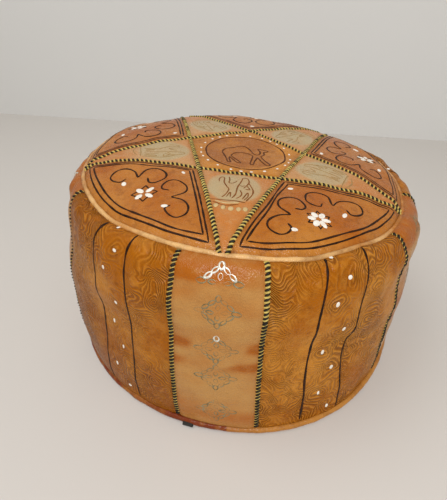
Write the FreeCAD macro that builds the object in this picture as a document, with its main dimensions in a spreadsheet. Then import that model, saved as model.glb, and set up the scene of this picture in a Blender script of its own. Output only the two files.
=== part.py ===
import FreeCAD
import Part
import Sketcher
import math
import os
import re

# A low leather pouf. The crowned top is a star pieced from eleven panels, the wall is ten
# panels, every seam is laced over, a corded welt closes the rim and the foot, and the
# stuffing goes in through a zip across the base.
# Millimetres. +Z is up, z = 0 is the floor, the axis of the drum is the Z axis and the
# front point of the star looks along -Y.

SIZES = (
    ("body_radius", 208.0, "widest radius of the leather wall"),
    ("top_welt_height", 203.0, "height of the rim welt's centre"),
    ("shoulder_inset", 28.0, "how far the rim welt lies inside the widest radius"),
    ("shoulder_drop", 46.0, "how far below the rim welt the wall starts to draw in"),
    ("shoulder_bulge", 7.0, "how far the stuffed shoulder stands out from a plain arc"),
    ("shoulder_steps", 2, "straight steps that the shoulder's curve is cut in"),
    ("crown_height", 20.0, "rise of the top's middle above the rim welt's centre"),
    ("crown_flat", 110.0, "radius of the top's level middle, where its fall to the rim starts"),
    ("crown_steps", 2, "straight steps that the curve of that fall is cut in"),
    ("lean_angle", 3.3, "lean of the settled top, down to the right, in degrees"),
    ("waist_height", 116.0, "height of the fold round the wall"),
    ("waist_depth", 5.0, "how far the wall is drawn in at that fold"),
    ("welt_diameter", 7.0, "diameter of the corded welts"),
    ("leather_thickness", 2.0, "top and wall leather"),
    ("seam_gap", 0.4, "gap between two panels at a laced seam"),
    ("seat_gap", 0.2, "gap between soft pieces that lie on each other"),
    ("star_points", 5, "points of the star"),
    ("star_tip_width", 8.0, "width of a star point where it meets the rim"),
    ("front_panel_angle", 23.0, "turn taken by the front plain wall panel, in degrees"),
    ("plain_panel_angle", 30.0, "turn taken by each other plain wall panel, in degrees"),
    ("lacing_width", 4.5, "width of the lacing over a seam"),
    ("lacing_height", 1.4, "thickness of the lacing over a seam"),
    ("base_thickness", 2.5, "base leather"),
    ("zip_angle", -8.0, "turn of the zip away from the front, in degrees"),
    ("slot_width", 12.0, "opening between the two halves of the base"),
    ("hem_margin", 2.0, "turned-in hem beyond the edge of the zip tape"),
    ("tape_width", 14.0, "one zip tape, from its teeth to its edge"),
    ("tape_thickness", 0.8, "zip tape"),
    ("tape_end_margin", 3.0, "end of the tape to the edge of the base"),
    ("zip_end_margin", 34.0, "last tooth to the edge of the base"),
    ("zip_gap", 0.2, "running clearance in the zip"),
    ("tooth_pitch", 4.8, "spacing of the teeth along one row"),
    ("tooth_overlap", 1.2, "reach of a tooth past the middle of the zip"),
    ("tooth_thickness", 2.2, "height of a tooth"),
    ("bead_width", 1.2, "bead that carries one row of teeth"),
    ("stop_length", 3.0, "length of an end stop"),
    ("slider_length", 13.0, "zip slider"),
    ("slider_width", 10.0, "zip slider"),
    ("slider_nose", 5.0, "part of the closed slider that lies past the last tooth"),
    ("slider_plate", 1.0, "thickness of one plate of the slider"),
    ("post_length", 3.0, "post that joins the plates of the slider"),
    ("pin_diameter", 1.2, "pin that carries the pull"),
    ("pin_gap", 0.06, "running clearance around the pin"),
    ("eye_wall", 0.5, "metal around the pin in the pull's eye"),
    ("eye_width", 3.0, "width of the pull's eye"),
    ("lug_thickness", 0.9, "one of the two lugs beside the eye"),
    ("pull_length", 28.0, "pin to the end of the pull"),
    ("pull_width", 7.0, "zip pull"),
    ("pull_thickness", 1.2, "zip pull"),
    ("end_tab_width", 11.0, "cloth tab that covers the zip's front end"),
    ("end_tab_depth", 3.5, "how far the tab stands out from the foot welt"),
    ("end_tab_height", 5.5, "height of the tab"),
)

DERIVED = (
    ("sector", "360 / star_points", "angle between two star points"),
    ("welt_radius", "welt_diameter / 2", "radius of a welt"),
    ("top_welt_radius", "body_radius - shoulder_inset", "radius of the rim welt's circle"),
    ("top_edge_radius", "top_welt_radius - welt_radius - seat_gap", "edge of the top panels"),
    ("edge_height", "top_welt_height - welt_radius - seat_gap", "upper edge of the wall"),
    ("shoulder_height", "top_welt_height - shoulder_drop", "lower end of the shoulder curve"),
    ("foot_height", "welt_diameter + 2 * seat_gap", "lower edge of the wall"),
    ("shoulder_rise", "edge_height - shoulder_height", "height of the shoulder curve"),
    ("shoulder_radius", "(shoulder_inset^2 + shoulder_rise^2) / (2 * shoulder_inset)",
     "radius of the shoulder curve"),
    ("shoulder_centre", "body_radius - shoulder_radius", "its centre, level with its lower end"),
    ("edge_bend", "acos((top_welt_radius - shoulder_centre) / shoulder_radius) / (1 deg)",
     "tilt of the leather's normal at the wall's upper edge, in degrees"),
    ("lace_start", "top_welt_radius + welt_radius + seat_gap", "upper end of the wall lacing"),
    ("step_bend", "edge_bend * sin(90 * (1 - 1 / shoulder_steps))", "bend before its last step"),
    ("step_radius", "shoulder_centre + shoulder_radius * cos(step_bend)"
     " + shoulder_bulge * sin(180 / shoulder_steps)", "where the shoulder's last step starts"),
    ("lace_share", "(step_radius - lace_start) / (step_radius - top_welt_radius)",
     "share of that step under the wall lacing"),
    ("bottom_welt_radius", "body_radius - leather_thickness / 2", "foot welt's circle"),
    ("base_radius", "bottom_welt_radius - welt_radius - seat_gap", "edge of the base"),
    ("star_line", "sqrt(top_edge_radius^2 - star_tip_width^2 / 4) * cos(sector)"
     " + star_tip_width / 2 * sin(sector)", "distance of a star seam from the axis"),
    ("inside_line", "star_line - seam_gap / 2", "panel edge on the inner side of a seam"),
    ("outside_line", "star_line + seam_gap / 2", "panel edge on the outer side of a seam"),
    ("lacing_corner", "lacing_width / 2 / tan(sector / 2) + seat_gap", "lacing to a crossing"),
    ("skin_gap", "leather_thickness + seat_gap", "stuffing to the outside of the leather"),
    ("slot_half", "slot_width / 2", "middle of the zip to the base"),
    ("base_end", "sqrt(base_radius^2 - slot_half^2)", "end of the base's straight edge"),
    ("bead_inner", "tooth_overlap + 2 * zip_gap", "middle of the zip to the bead"),
    ("bead_outer", "bead_inner + bead_width", "middle of the zip to the bead's back"),
    ("tape_inner", "bead_outer + zip_gap / 2", "middle of the zip to the tape"),
    ("tape_outer", "tape_inner + tape_width", "middle of the zip to the tape's edge"),
    ("hem_outer", "tape_outer + hem_margin", "middle of the zip to the hem's edge"),
    ("hem_end", "sqrt(base_radius^2 - hem_outer^2) - seat_gap", "end of the hem"),
    ("tape_seat", "2 * base_thickness + zip_gap / 2", "height of the tape over the floor"),
    ("zip_level", "tape_seat + tape_thickness / 2", "height of the middle of the zip"),
    ("tape_half", "base_radius - tape_end_margin", "half the length of a tape"),
    ("tooth_count", "floor(2 * (base_radius - zip_end_margin) / tooth_pitch)", "in one row"),
    ("zip_half", "tooth_count * tooth_pitch / 2", "half the length of the toothed stretch"),
    ("tooth_width", "tooth_pitch / 2 - zip_gap", "one tooth, along the zip"),
    ("tooth_level", "zip_level - tooth_thickness / 2", "lower face of the teeth"),
    ("channel_half", "tooth_thickness / 2 + zip_gap", "half the gap between slider plates"),
    ("slider_half", "slider_width / 2", "half the slider's width"),
    ("slider_front", "zip_half + slider_nose", "front end of the closed slider"),
    ("slider_rear", "slider_front - slider_length", "rear end of the closed slider"),
    ("slider_middle", "slider_front - slider_length / 2", "place of the pull's pin"),
    ("inner_plate", "zip_level + channel_half", "lower face of the slider's inner plate"),
    ("outer_plate", "zip_level - channel_half - slider_plate", "its outer plate's lower face"),
    ("rail_gap", "tape_thickness / 2 + zip_gap", "slider's side rails to the tape's middle"),
    ("rail_inner", "bead_outer + zip_gap", "middle of the zip to a side rail"),
    ("eye_radius", "pin_diameter / 2 + pin_gap + eye_wall", "pull's eye"),
    ("pin_level", "outer_plate - eye_radius - zip_gap", "height of the pin"),
    ("lug_inner", "eye_width / 2 + zip_gap / 2", "middle of the zip to a lug"),
    ("lug_outer", "lug_inner + lug_thickness", "middle of the zip to a lug's outside"),
    ("neck_end", "eye_radius + 2 * eye_wall + zip_gap", "pin to the wide part of the pull"),
    ("stop_start", "slider_front + stop_length", "front stops, clear of the slider"),
    ("channel_top", "inner_plate + slider_plate + seat_gap", "channel under the stuffing"),
    ("tab_start", "bottom_welt_radius + welt_radius + seat_gap", "back of the end tab"),
)

WELT_SIDES = 6

NAMES = {name for name, value, note in SIZES} | {name for name, formula, note in DERIVED}


def fill_sheet(doc):
    """Write the driving sizes and, below them, what follows from them."""
    sheet = doc.addObject("Spreadsheet::Sheet", "Sizes")
    rows = [(name, str(value), note) for name, value, note in SIZES]
    rows += [(name, "=" + formula, note) for name, formula, note in DERIVED]
    for row, (name, content, note) in enumerate(rows, start=1):
        sheet.set(f"A{row}", name)
        sheet.set(f"B{row}", content)
        sheet.setAlias(f"B{row}", name)
        sheet.set(f"C{row}", note)
    doc.recompute()
    return sheet


def linked(formula):
    """Point every size that a formula names at its cell."""
    return re.sub(r"[a-z]\w*", lambda m: "Sizes." + m[0] if m[0] in NAMES else m[0], formula)


def valued(formula):
    """The number that a formula gives with the sizes in the sheet."""
    return float(SHEET.evalExpression(linked(formula)))


def pin_constraint(sketch, constraint, formula):
    """Add a constraint and bind its value to a formula."""
    index = sketch.addConstraint(constraint)
    sketch.setExpression(f"Constraints[{index}]", linked(formula))


def pin_point(sketch, edge, end, place):
    """Fix one end of an edge at a pair of formulas."""
    for kind, formula in zip(("DistanceX", "DistanceY"), place):
        point = Sketcher.Constraint(kind, -1, 1, edge, end, valued(formula))
        pin_constraint(sketch, point, formula)


def arc_between(start, stop, radius, turn):
    """The shorter arc from start to stop, turning left (1) or right (-1)."""
    chord = stop - start
    left = FreeCAD.Vector(-chord.y, chord.x, 0).normalize()
    middle = start + chord * 0.5
    centre = middle + left * turn * math.sqrt(max(radius ** 2 - chord.Length ** 2 / 4, 0))
    first, last = (start, stop) if turn > 0 else (stop, start)
    angles = [math.atan2(p.y - centre.y, p.x - centre.x) for p in (first, last)]
    if angles[1] < angles[0]:
        angles[1] += 2 * math.pi
    return Part.ArcOfCircle(Part.Circle(centre, FreeCAD.Vector(0, 0, 1), radius), *angles)


def draw_outline(sketch, corners, arcs=None):
    """Draw a closed outline through corners, each a pair of formulas. arcs gives a side,
    by its number, a radius and the way it turns; the other sides are straight."""
    arcs = arcs or {}
    points = [FreeCAD.Vector(valued(x), valued(y), 0) for x, y in corners]
    ends = []
    for side, start in enumerate(points):
        stop = points[(side + 1) % len(points)]
        if side in arcs:
            formula, turn = arcs[side]
            edge = sketch.addGeometry(arc_between(start, stop, valued(formula), turn))
            pin_constraint(sketch, Sketcher.Constraint("Radius", edge, valued(formula)), formula)
        else:
            turn = 1
            edge = sketch.addGeometry(Part.LineSegment(start, stop))
        ends.append((edge, 1, 2) if turn > 0 else (edge, 2, 1))
    for side, corner in enumerate(corners):
        before, after = ends[side - 1], ends[side]
        sketch.addConstraint(Sketcher.Constraint("Coincident", before[0], before[2], *after[:2]))
        pin_point(sketch, after[0], after[1], corner)


def draw_circle(sketch, centre, radius):
    """Draw a circle at a pair of formulas."""
    place = FreeCAD.Vector(valued(centre[0]), valued(centre[1]), 0)
    edge = sketch.addGeometry(Part.Circle(place, FreeCAD.Vector(0, 0, 1), valued(radius)))
    pin_constraint(sketch, Sketcher.Constraint("Radius", edge, valued(radius)), radius)
    pin_point(sketch, edge, 3, centre)


def moved(base, axis, angle):
    """A placement from formulas: a base, and a turn about an axis."""
    base, axis = (";".join(part) for part in (base, axis))
    return f"placement(vector({base}); rotation(vector({axis}); {angle}))"


def new_body(label, turn="0", leaning=False):
    """An empty body, turned about the drum's axis. One that belongs to the top leans with it,
    about the middle of the wall's upper edge."""
    body = DOC.addObject("PartDesign::Body", label)
    body.Label = label
    body.AllowCompound = True
    place = moved("000", "001", turn)
    if leaning:
        lean = moved(("0", "0", "edge_height"), "010", "lean_angle")
        place = lean + " * " + moved(("0", "0", "-edge_height"), "001", turn)
    body.setExpression("Placement", linked(place))
    return body


def new_sketch(body, plane, offset="0"):
    """A sketch on one of the body's own planes, moved along the plane's normal."""
    sketch = body.newObject("Sketcher::SketchObject", body.Label + "_sketch")
    support = next(f for f in body.Origin.OriginFeatures if f.Role == plane)
    sketch.AttachmentSupport = [(support, "")]
    sketch.MapMode = "FlatFace"
    sketch.setExpression("AttachmentOffset.Base.z", linked(offset))
    return sketch


def leaning_sketch(body, height, turn):
    """A nearly level sketch across the drum at a height, which leans with the wall there. The
    wall stands level at the foot and leans most at its upper edge."""
    sketch = new_sketch(body, "XY_Plane")
    lean = f"lean_angle * (({height}) - foot_height) / (edge_height - foot_height)"
    axis = (f"sin({turn})", f"cos({turn})", "0")
    sketch.setExpression("AttachmentOffset", linked(moved(("0", "0", height), axis, lean)))
    return sketch


def finish(feature, sketch):
    """Take a feature's profile from a sketch and see that it changed the body's volume."""
    feature.Profile = sketch
    before = feature.BaseFeature.Shape.Volume if feature.BaseFeature else 0.0
    DOC.recompute()
    if abs(feature.Shape.Volume - before) < 1e-6:
        raise RuntimeError(feature.Name + " changes nothing")


def pad(body, sketch, length, both_ways=False):
    """Pull a sketch up, or to both sides."""
    feature = body.newObject("PartDesign::Pad", body.Label + "_pad")
    feature.Midplane = both_ways
    feature.setExpression("Length", linked(length))
    finish(feature, sketch)


def cut_through(body, sketch, both_ways=False):
    """Cut a sketch out of all that lies above it, or on both sides of it."""
    feature = body.newObject("PartDesign::Pocket", body.Label + "_cut")
    feature.Type = "ThroughAll"
    feature.Midplane = both_ways
    feature.Reversed = not both_ways
    finish(feature, sketch)


def turn_profile(kind, body, sketch):
    """Add or cut what a sketch sweeps in a full turn about its upright axis."""
    feature = body.newObject("PartDesign::" + kind, body.Label + "_turned")
    feature.ReferenceAxis = (sketch, ["V_Axis"])
    feature.Angle = 360
    finish(feature, sketch)


def loft(body, sections):
    """Add the solid with straight sides from each sketch to the next."""
    feature = body.newObject("PartDesign::AdditiveLoft", body.Label + "_loft")
    feature.Sections = sections[1:]
    feature.Ruled = True
    finish(feature, sections[0])


def rectangle(left, right, near, far):
    """Corners of a rectangle from four formulas."""
    return [(left, near), (right, near), (right, far), (left, far)]


def negative(formula):
    return f"-({formula})"


def mirrored(corners):
    """The same outline on the other side of the middle."""
    return [(negative(x), y) for x, y in reversed(corners)]


def crown_section(offset):
    """Radius and height of the top, level in the middle and falling to the rim welt, on a face
    that lies a distance above the leather's outside. Past the rim it goes on level."""
    section = [("0", f"top_welt_height + crown_height + {offset}")]
    for step in range(CROWN_STEPS + 1):
        share = f"({step} / crown_steps)"
        section.append((f"crown_flat + (top_welt_radius - crown_flat) * {share}",
                        f"top_welt_height + crown_height * (1 - {share}^2) + {offset}"))
    return section + [("body_radius", section[-1][1])]


def turn_crown(kind, body, inner, outer, leaning=False):
    """Add or cut a crowned layer between two faces. The layer can lean in a body that stands
    upright."""
    section = new_sketch(body, "XZ_Plane")
    if leaning:
        lean = moved(("0", "edge_height", "0"), "001", "-lean_angle")
        level = moved(("0", "-edge_height", "0"), "001", "0")
        section.setExpression("AttachmentOffset", linked(lean + " * " + level))
    draw_outline(section, crown_section(inner) + crown_section(outer)[::-1])
    turn_profile(kind, body, section)


def crown_piece(label, turn, outlines, inner, outer):
    """A crowned sheet between two faces, cut to one or more pattern outlines."""
    body = new_body(label, turn, leaning=True)
    turn_crown("Revolution", body, inner, outer)
    trim = new_sketch(body, "XY_Plane")
    draw_circle(trim, ("0", "0"), "2 * body_radius")
    for corners, arcs in outlines:
        draw_outline(trim, corners, arcs)
    cut_through(body, trim)
    return body


def along_seam(line, normal, along):
    """A place on a straight seam: the seam's distance from the axis, the turn of its normal
    away from -Y and the distance along it."""
    return (f"({line}) * sin({normal}) - ({along}) * cos({normal})",
            f"-(({line}) * cos({normal}) + ({along}) * sin({normal}))")


def rim_reach(line):
    """Distance along a seam from its middle to the rim."""
    return f"sqrt(top_edge_radius^2 - ({line})^2)"


def pentagon_outline():
    """The middle of the star, with a corner between each two points."""
    reach = "inside_line / cos(sector / 2)"
    angles = [f"({corner} + 0.5) * sector" for corner in range(POINTS)]
    return [(f"{reach} * sin({angle})", f"-{reach} * cos({angle})") for angle in angles], {}


def point_outline():
    """A star point that looks along -Y, cut off by the rim."""
    half_base = "(inside_line - outside_line * cos(sector)) / sin(sector)"
    right = [(half_base, "-outside_line"),
             along_seam("inside_line", "sector", rim_reach("inside_line"))]
    return right + mirrored(right), {1: ("top_edge_radius", -1)}


def flower_outline():
    """The panel between two star points, looking along -Y, with the rim as its outer side."""
    apex = ("0", "-outside_line / cos(sector / 2)")
    left = along_seam("outside_line", "sector / 2", rim_reach("outside_line"))
    return [apex, left] + mirrored([left]), {1: ("top_edge_radius", 1)}


def pentagon_lacing_outline():
    """Lacing along the pentagon's side under a star point that looks along -Y."""
    half_length = "star_line * tan(sector / 2) - lacing_corner"
    return rectangle(negative(half_length), half_length,
                     "-(star_line + lacing_width / 2)", "-(star_line - lacing_width / 2)"), {}


def point_lacing_outlines():
    """Lacing along both sides of a star point that looks along -Y."""
    start = "star_line * tan(sector / 2) + lacing_corner"
    stop = rim_reach("star_line") + " - lacing_width / 2"
    inner, outer = "star_line - lacing_width / 2", "star_line + lacing_width / 2"
    places = ((inner, start), (outer, start), (outer, stop), (inner, stop))
    right = [along_seam(line, "sector", along) for line, along in places]
    return [(right, {}), (mirrored(right), {})]


def wall_section(offset, share="1"):
    """Radius and height up the wall, from the foot through the fold and the shoulder, on a face
    that lies a distance outside the leather. It ends after a share of the shoulder's last step."""
    shoulder = []
    for step in range(STEPS + 1):
        rise = f"shoulder_radius * sin(edge_bend * sin(90 * {step} / shoulder_steps))"
        arc = f"shoulder_centre + sqrt((shoulder_radius + ({offset}))^2 - ({rise})^2)"
        bulge = f"shoulder_bulge * sin(180 * {step} / shoulder_steps)"
        shoulder.append((f"{arc} + {bulge}", f"shoulder_height + {rise}"))
    end = tuple(f"({start}) + ({share}) * (({stop}) - ({start}))"
                for start, stop in zip(*shoulder[-2:]))
    foot = (f"body_radius + ({offset})", "foot_height")
    waist = (f"body_radius - waist_depth + ({offset})", "waist_height")
    return [foot, waist] + shoulder[:-1] + [end]


def wall_piece(label, turn, angle, inner, outer, share="1"):
    """A curved strip of the wall between two faces, lofted through sections across the drum."""
    body = new_body(label, turn)
    half = f"(({angle}) / 2)"
    sections = []
    levels = zip(wall_section(outer, share), wall_section(inner, share))
    for (outside, height), (inside, height) in levels:
        sketch = leaning_sketch(body, height, turn)
        right = [(f"({reach}) * sin({half})", f"-({reach}) * cos({half})")
                 for reach in (outside, inside)]
        draw_outline(sketch, right + mirrored(right), {1: (inside, -1), 3: (outside, 1)})
        sections.append(sketch)
    loft(body, sections)
    return body


def arc_angle(length):
    """The turn, in degrees, that a length takes along the wall."""
    return f"({length}) / body_radius * 180 / pi"


def top_panels():
    leather = ("-leather_thickness", "0")
    panels = [crown_piece("centre_pentagon", "0", [pentagon_outline()], *leather)]
    for number in range(POINTS):
        name, turn = f"star_point_{number + 1}", f"{number} * sector"
        panels.append(crown_piece(name, turn, [point_outline()], *leather))
    for number in range(POINTS):
        name, turn = f"flower_panel_{number + 1}", f"({number} + 0.5) * sector"
        panels.append(crown_piece(name, turn, [flower_outline()], *leather))
    return panels


def half_plain(number):
    """Half the turn of the plain panel under a star point, counted on past the last one."""
    size = "plain_panel_angle" if number % POINTS else "front_panel_angle"
    return f"{size} / 2"


def wall_panels():
    leather = ("-leather_thickness", "0")
    seam = arc_angle("seam_gap")
    panels = []
    for number in range(POINTS):
        near, far = half_plain(number), half_plain(number + 1)
        panels.append(wall_piece(f"plain_side_panel_{number + 1}", f"{number} * sector",
                                 f"2 * {near} - {seam}", *leather))
        panels.append(wall_piece(f"tooled_side_panel_{number + 1}",
                                 f"({number} + 0.5) * sector + ({near} - {far}) / 2",
                                 f"sector - {near} - {far} - {seam}", *leather))
    return panels


def lacing():
    layer = ("seat_gap", "seat_gap + lacing_height")
    strips = []
    for number in range(POINTS):
        turn = f"{number} * sector"
        strips.append(crown_piece(f"pentagon_lacing_{number + 1}", turn,
                                  [pentagon_lacing_outline()], *layer))
        strips.append(crown_piece(f"point_lacing_{number + 1}", turn,
                                  point_lacing_outlines(), *layer))
        for side, sign in enumerate(("-", "+")):
            strips.append(wall_piece(f"side_lacing_{2 * number + side + 1}",
                                     f"{turn} {sign} {half_plain(number)}",
                                     arc_angle("lacing_width"), *layer, "lace_share"))
    return strips


def welt(label, radius, height, leaning=False):
    """A corded welt: a ring of even, many-sided section."""
    body = new_body(label, leaning=leaning)
    section = new_sketch(body, "XZ_Plane")
    angles = [f"({side} + 0.5) * 360 / {WELT_SIDES}" for side in range(WELT_SIDES)]
    draw_outline(section, [(f"{radius} + welt_radius * cos({angle})",
                            f"{height} + welt_radius * sin({angle})") for angle in angles])
    turn_profile("Revolution", body, section)
    return body


def stuffing():
    """The filling, a little inside the leather, cut back round the foot welt and over the
    zip."""
    body = new_body("stuffing")
    foot = new_sketch(body, "XY_Plane", "base_thickness + seat_gap")
    draw_circle(foot, ("0", "0"), "base_radius")
    pad(body, foot, "foot_height - base_thickness - seat_gap")
    wall = wall_section("-skin_gap")
    sections = []
    for reach, height in wall + [(wall[-1][0], "edge_height + 2 * crown_height")]:
        sections.append(leaning_sketch(body, height, "0"))
        draw_circle(sections[-1], ("0", "0"), reach)
    loft(body, sections)
    turn_crown("Groove", body, "-skin_gap", "3 * crown_height", leaning=True)
    channel = new_sketch(body, "XZ_Plane")
    channel.setExpression("AttachmentOffset", linked(moved("000", "010", "zip_angle")))
    side = "hem_outer + seat_gap"
    draw_outline(channel, rectangle(negative(side), side, "0", "channel_top"))
    cut_through(body, channel, both_ways=True)
    return body


def base_half(label, turn):
    """Half of the base, with its edge along the zip turned in to a second thickness."""
    body = new_body(label, turn)
    disc = new_sketch(body, "XY_Plane")
    draw_outline(disc, [("slot_half", "-base_end"), ("slot_half", "base_end")],
                 {0: ("base_radius", 1)})
    pad(body, disc, "base_thickness")
    hem = new_sketch(body, "XY_Plane", "base_thickness")
    draw_outline(hem, rectangle("slot_half", "hem_outer", "-hem_end", "hem_end"))
    pad(body, hem, "base_thickness")
    return body


def zip_tape(label, turn):
    body = new_body(label, turn)
    strip = new_sketch(body, "XY_Plane", "tape_seat")
    draw_outline(strip, rectangle("tape_inner", "tape_outer", "-tape_half", "tape_half"))
    pad(body, strip, "tape_thickness")
    return body


def zip_teeth(label, turn):
    """One row of teeth on its bead. Turned by half a turn, it meshes with itself."""
    body = new_body(label, turn)
    bead = new_sketch(body, "XY_Plane", "tooth_level")
    draw_outline(bead, rectangle("bead_inner", "bead_outer", "-tape_half", "tape_half"))
    pad(body, bead, "tooth_thickness")
    tooth = new_sketch(body, "XY_Plane", "tooth_level")
    middle = "(tooth_pitch / 4 - zip_half)"
    draw_outline(tooth, rectangle("-tooth_overlap", "bead_inner + bead_width / 2",
                                  f"{middle} - tooth_width / 2", f"{middle} + tooth_width / 2"))
    pad(body, tooth, "tooth_thickness")
    first = body.Tip
    row = body.newObject("PartDesign::LinearPattern", label + "_row")
    row.Originals = [first]
    row.Direction = (tooth, ["V_Axis"])
    row.setExpression("Length", linked("(tooth_count - 1) * tooth_pitch"))
    row.setExpression("Occurrences", linked("tooth_count"))
    body.Tip = row
    return body


def zip_stops():
    """Two stops on the beads in front of the closed slider and one between the rows behind."""
    front = new_body("zip_top_stops", "zip_angle")
    sketch = new_sketch(front, "XY_Plane", "tooth_level")
    block = rectangle("zip_gap", "bead_inner - zip_gap", "-stop_start - stop_length",
                      "-stop_start")
    for outline in (block, mirrored(block)):
        draw_outline(sketch, outline)
    pad(front, sketch, "tooth_thickness")
    back = new_body("zip_bottom_stop", "zip_angle")
    sketch = new_sketch(back, "XY_Plane", "tooth_level")
    side = "bead_inner - zip_gap"
    draw_outline(sketch, rectangle(negative(side), side, "zip_half + zip_gap",
                                   "zip_half + zip_gap + stop_length"))
    pad(back, sketch, "tooth_thickness")
    return [front, back]


def zip_slider():
    """Two plates joined by a post, with rails that hold the beads and lugs for the pull."""
    body = new_body("zip_slider", "zip_angle")

    def block(outlines, level, length):
        sketch = new_sketch(body, "XY_Plane", level)
        for outline in outlines:
            draw_outline(sketch, outline)
        pad(body, sketch, length)

    waist = "slider_half - slider_plate"
    plate = [("slider_half", "-slider_front + slider_plate"), ("slider_half", "-slider_middle"),
             (waist, "-slider_rear"), (negative(waist), "-slider_rear"),
             ("-slider_half", "-slider_middle"), ("-slider_half", "-slider_front + slider_plate"),
             (negative(waist), "-slider_front"), (waist, "-slider_front")]
    block([plate], "outer_plate", "slider_plate")
    post_front = "-slider_front + slider_plate"
    post = rectangle("-bead_width / 2", "bead_width / 2", post_front,
                     f"{post_front} + post_length")
    block([post], "outer_plate + slider_plate", "2 * channel_half")
    block([plate], "inner_plate", "slider_plate")
    rail = rectangle("rail_inner", waist, "-slider_front + slider_plate", "-slider_rear")
    rails = [rail, mirrored(rail)]
    block(rails, "outer_plate + slider_plate", "channel_half - rail_gap")
    block(rails, "zip_level + rail_gap", "channel_half - rail_gap")
    lug = rectangle("lug_inner", "lug_outer", "-slider_middle - eye_radius",
                    "-slider_middle + eye_radius")
    block([lug, mirrored(lug)], "pin_level - eye_radius", "outer_plate - pin_level + eye_radius")
    pin = new_sketch(body, "YZ_Plane")
    draw_circle(pin, ("-slider_middle", "pin_level"), "pin_diameter / 2")
    pad(body, pin, "2 * lug_outer", both_ways=True)
    return body


def zip_pull():
    """A flat pull with an eye around the slider's pin, lying back along the zip."""
    body = new_body("zip_pull", "zip_angle")
    blade = new_sketch(body, "XY_Plane", "pin_level - pull_thickness / 2")
    neck, half = "eye_width / 2", "pull_width / 2"
    start, shoulder = "-slider_middle", "-slider_middle + neck_end"
    round_start = "-slider_middle + pull_length - pull_width / 4"
    right = [(neck, start), (neck, shoulder), (half, shoulder), (half, round_start)]
    corners = right + mirrored(right)
    draw_outline(blade, corners, {3: ("pull_width", 1)})
    pad(body, blade, "pull_thickness")
    eye = new_sketch(body, "YZ_Plane")
    draw_circle(eye, ("-slider_middle", "pin_level"), "eye_radius")
    pad(body, eye, "eye_width", both_ways=True)
    hole = new_sketch(body, "YZ_Plane")
    draw_circle(hole, ("-slider_middle", "pin_level"), "pin_diameter / 2 + pin_gap")
    cut_through(body, hole, both_ways=True)
    return body


def zip_end_tab():
    """The folded cloth tab over the zip's front end, which shows outside the foot welt."""
    body = new_body("zip_end_tab", "zip_angle")
    sketch = new_sketch(body, "XY_Plane", "seat_gap")
    half = "end_tab_width / 2"
    draw_outline(sketch, [(half, "-tab_start"), (negative(half), "-tab_start"),
                          (negative(half), "-tab_start - end_tab_depth / 2"),
                          (half, "-tab_start - end_tab_depth / 2")],
                 {2: ("end_tab_width", 1)})
    pad(body, sketch, "end_tab_height")
    return body


def base_and_zip():
    pieces = []
    for side, turn in (("right", "zip_angle"), ("left", "zip_angle + 180")):
        pieces.append(base_half(f"base_half_{side}", turn))
        pieces.append(zip_tape(f"zip_tape_{side}", turn))
        pieces.append(zip_teeth(f"zip_teeth_{side}", turn))
    return pieces + zip_stops() + [zip_slider(), zip_pull(), zip_end_tab()]


def write_parts(parts):
    """Check the whole document, then write each sub-part to its own file."""
    DOC.recompute()
    for thing in DOC.Objects:
        if "Invalid" in thing.State or "Error" in thing.State:
            raise RuntimeError(f"{thing.Label} failed: {thing.State}")
    for part in parts:
        if part.Shape.isNull() or not part.Shape.isValid() or not part.Shape.Solids:
            raise RuntimeError(part.Label + " has no valid solid")
    os.makedirs("parts", exist_ok=True)
    for part in parts:
        part.Shape.exportStep(f"parts/{part.Label}.step")


DOC = FreeCAD.newDocument("LeatherPouf")
SHEET = fill_sheet(DOC)
POINTS, STEPS, CROWN_STEPS = (int(valued(count))
                              for count in ("star_points", "shoulder_steps", "crown_steps"))

PARTS = top_panels() + wall_panels() + lacing()
PARTS += [welt("top_welt", "top_welt_radius", "top_welt_height", leaning=True),
          welt("bottom_welt", "bottom_welt_radius", "welt_radius + seat_gap"), stuffing()]
PARTS += base_and_zip()
write_parts(PARTS)
print(len(PARTS), "sub-parts written")
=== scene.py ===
# %% [markdown]
# # A laced leather pouf
# The real pouf is a drum of goat leather round a stuffing. Its top is a five-pointed star of
# panels, its wall is made of narrow plain and wide tooled panels, and every seam is laced over in
# black and yellow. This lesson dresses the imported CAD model: each piece of leather becomes a thin
# shell on one soft form, and the ornaments are laid on that form.

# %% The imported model
import math

import bpy
import numpy as np
from mathutils import Matrix, Vector


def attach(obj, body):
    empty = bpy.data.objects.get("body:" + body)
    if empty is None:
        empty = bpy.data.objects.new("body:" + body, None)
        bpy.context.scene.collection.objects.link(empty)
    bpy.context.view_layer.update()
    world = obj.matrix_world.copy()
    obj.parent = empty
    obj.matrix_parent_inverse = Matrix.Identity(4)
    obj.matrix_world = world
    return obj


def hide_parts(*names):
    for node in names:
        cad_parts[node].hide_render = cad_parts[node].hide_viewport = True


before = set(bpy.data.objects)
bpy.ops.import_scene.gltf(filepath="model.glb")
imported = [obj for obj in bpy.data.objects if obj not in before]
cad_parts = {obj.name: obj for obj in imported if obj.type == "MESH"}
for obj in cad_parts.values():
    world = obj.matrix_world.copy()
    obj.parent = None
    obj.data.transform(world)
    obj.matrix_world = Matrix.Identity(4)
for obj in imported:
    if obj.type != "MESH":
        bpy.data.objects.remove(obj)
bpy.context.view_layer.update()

# %% [markdown]
# ## The drum's main sizes
# These are the CAD model's sizes, in metres. Angles are counted from the front (-Y) towards the
# right (+X), as the panels are numbered. The wall leaves the rim almost level and then drops, so its
# section is two Bezier curves, and a point on it is found by its share of the length.

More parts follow.
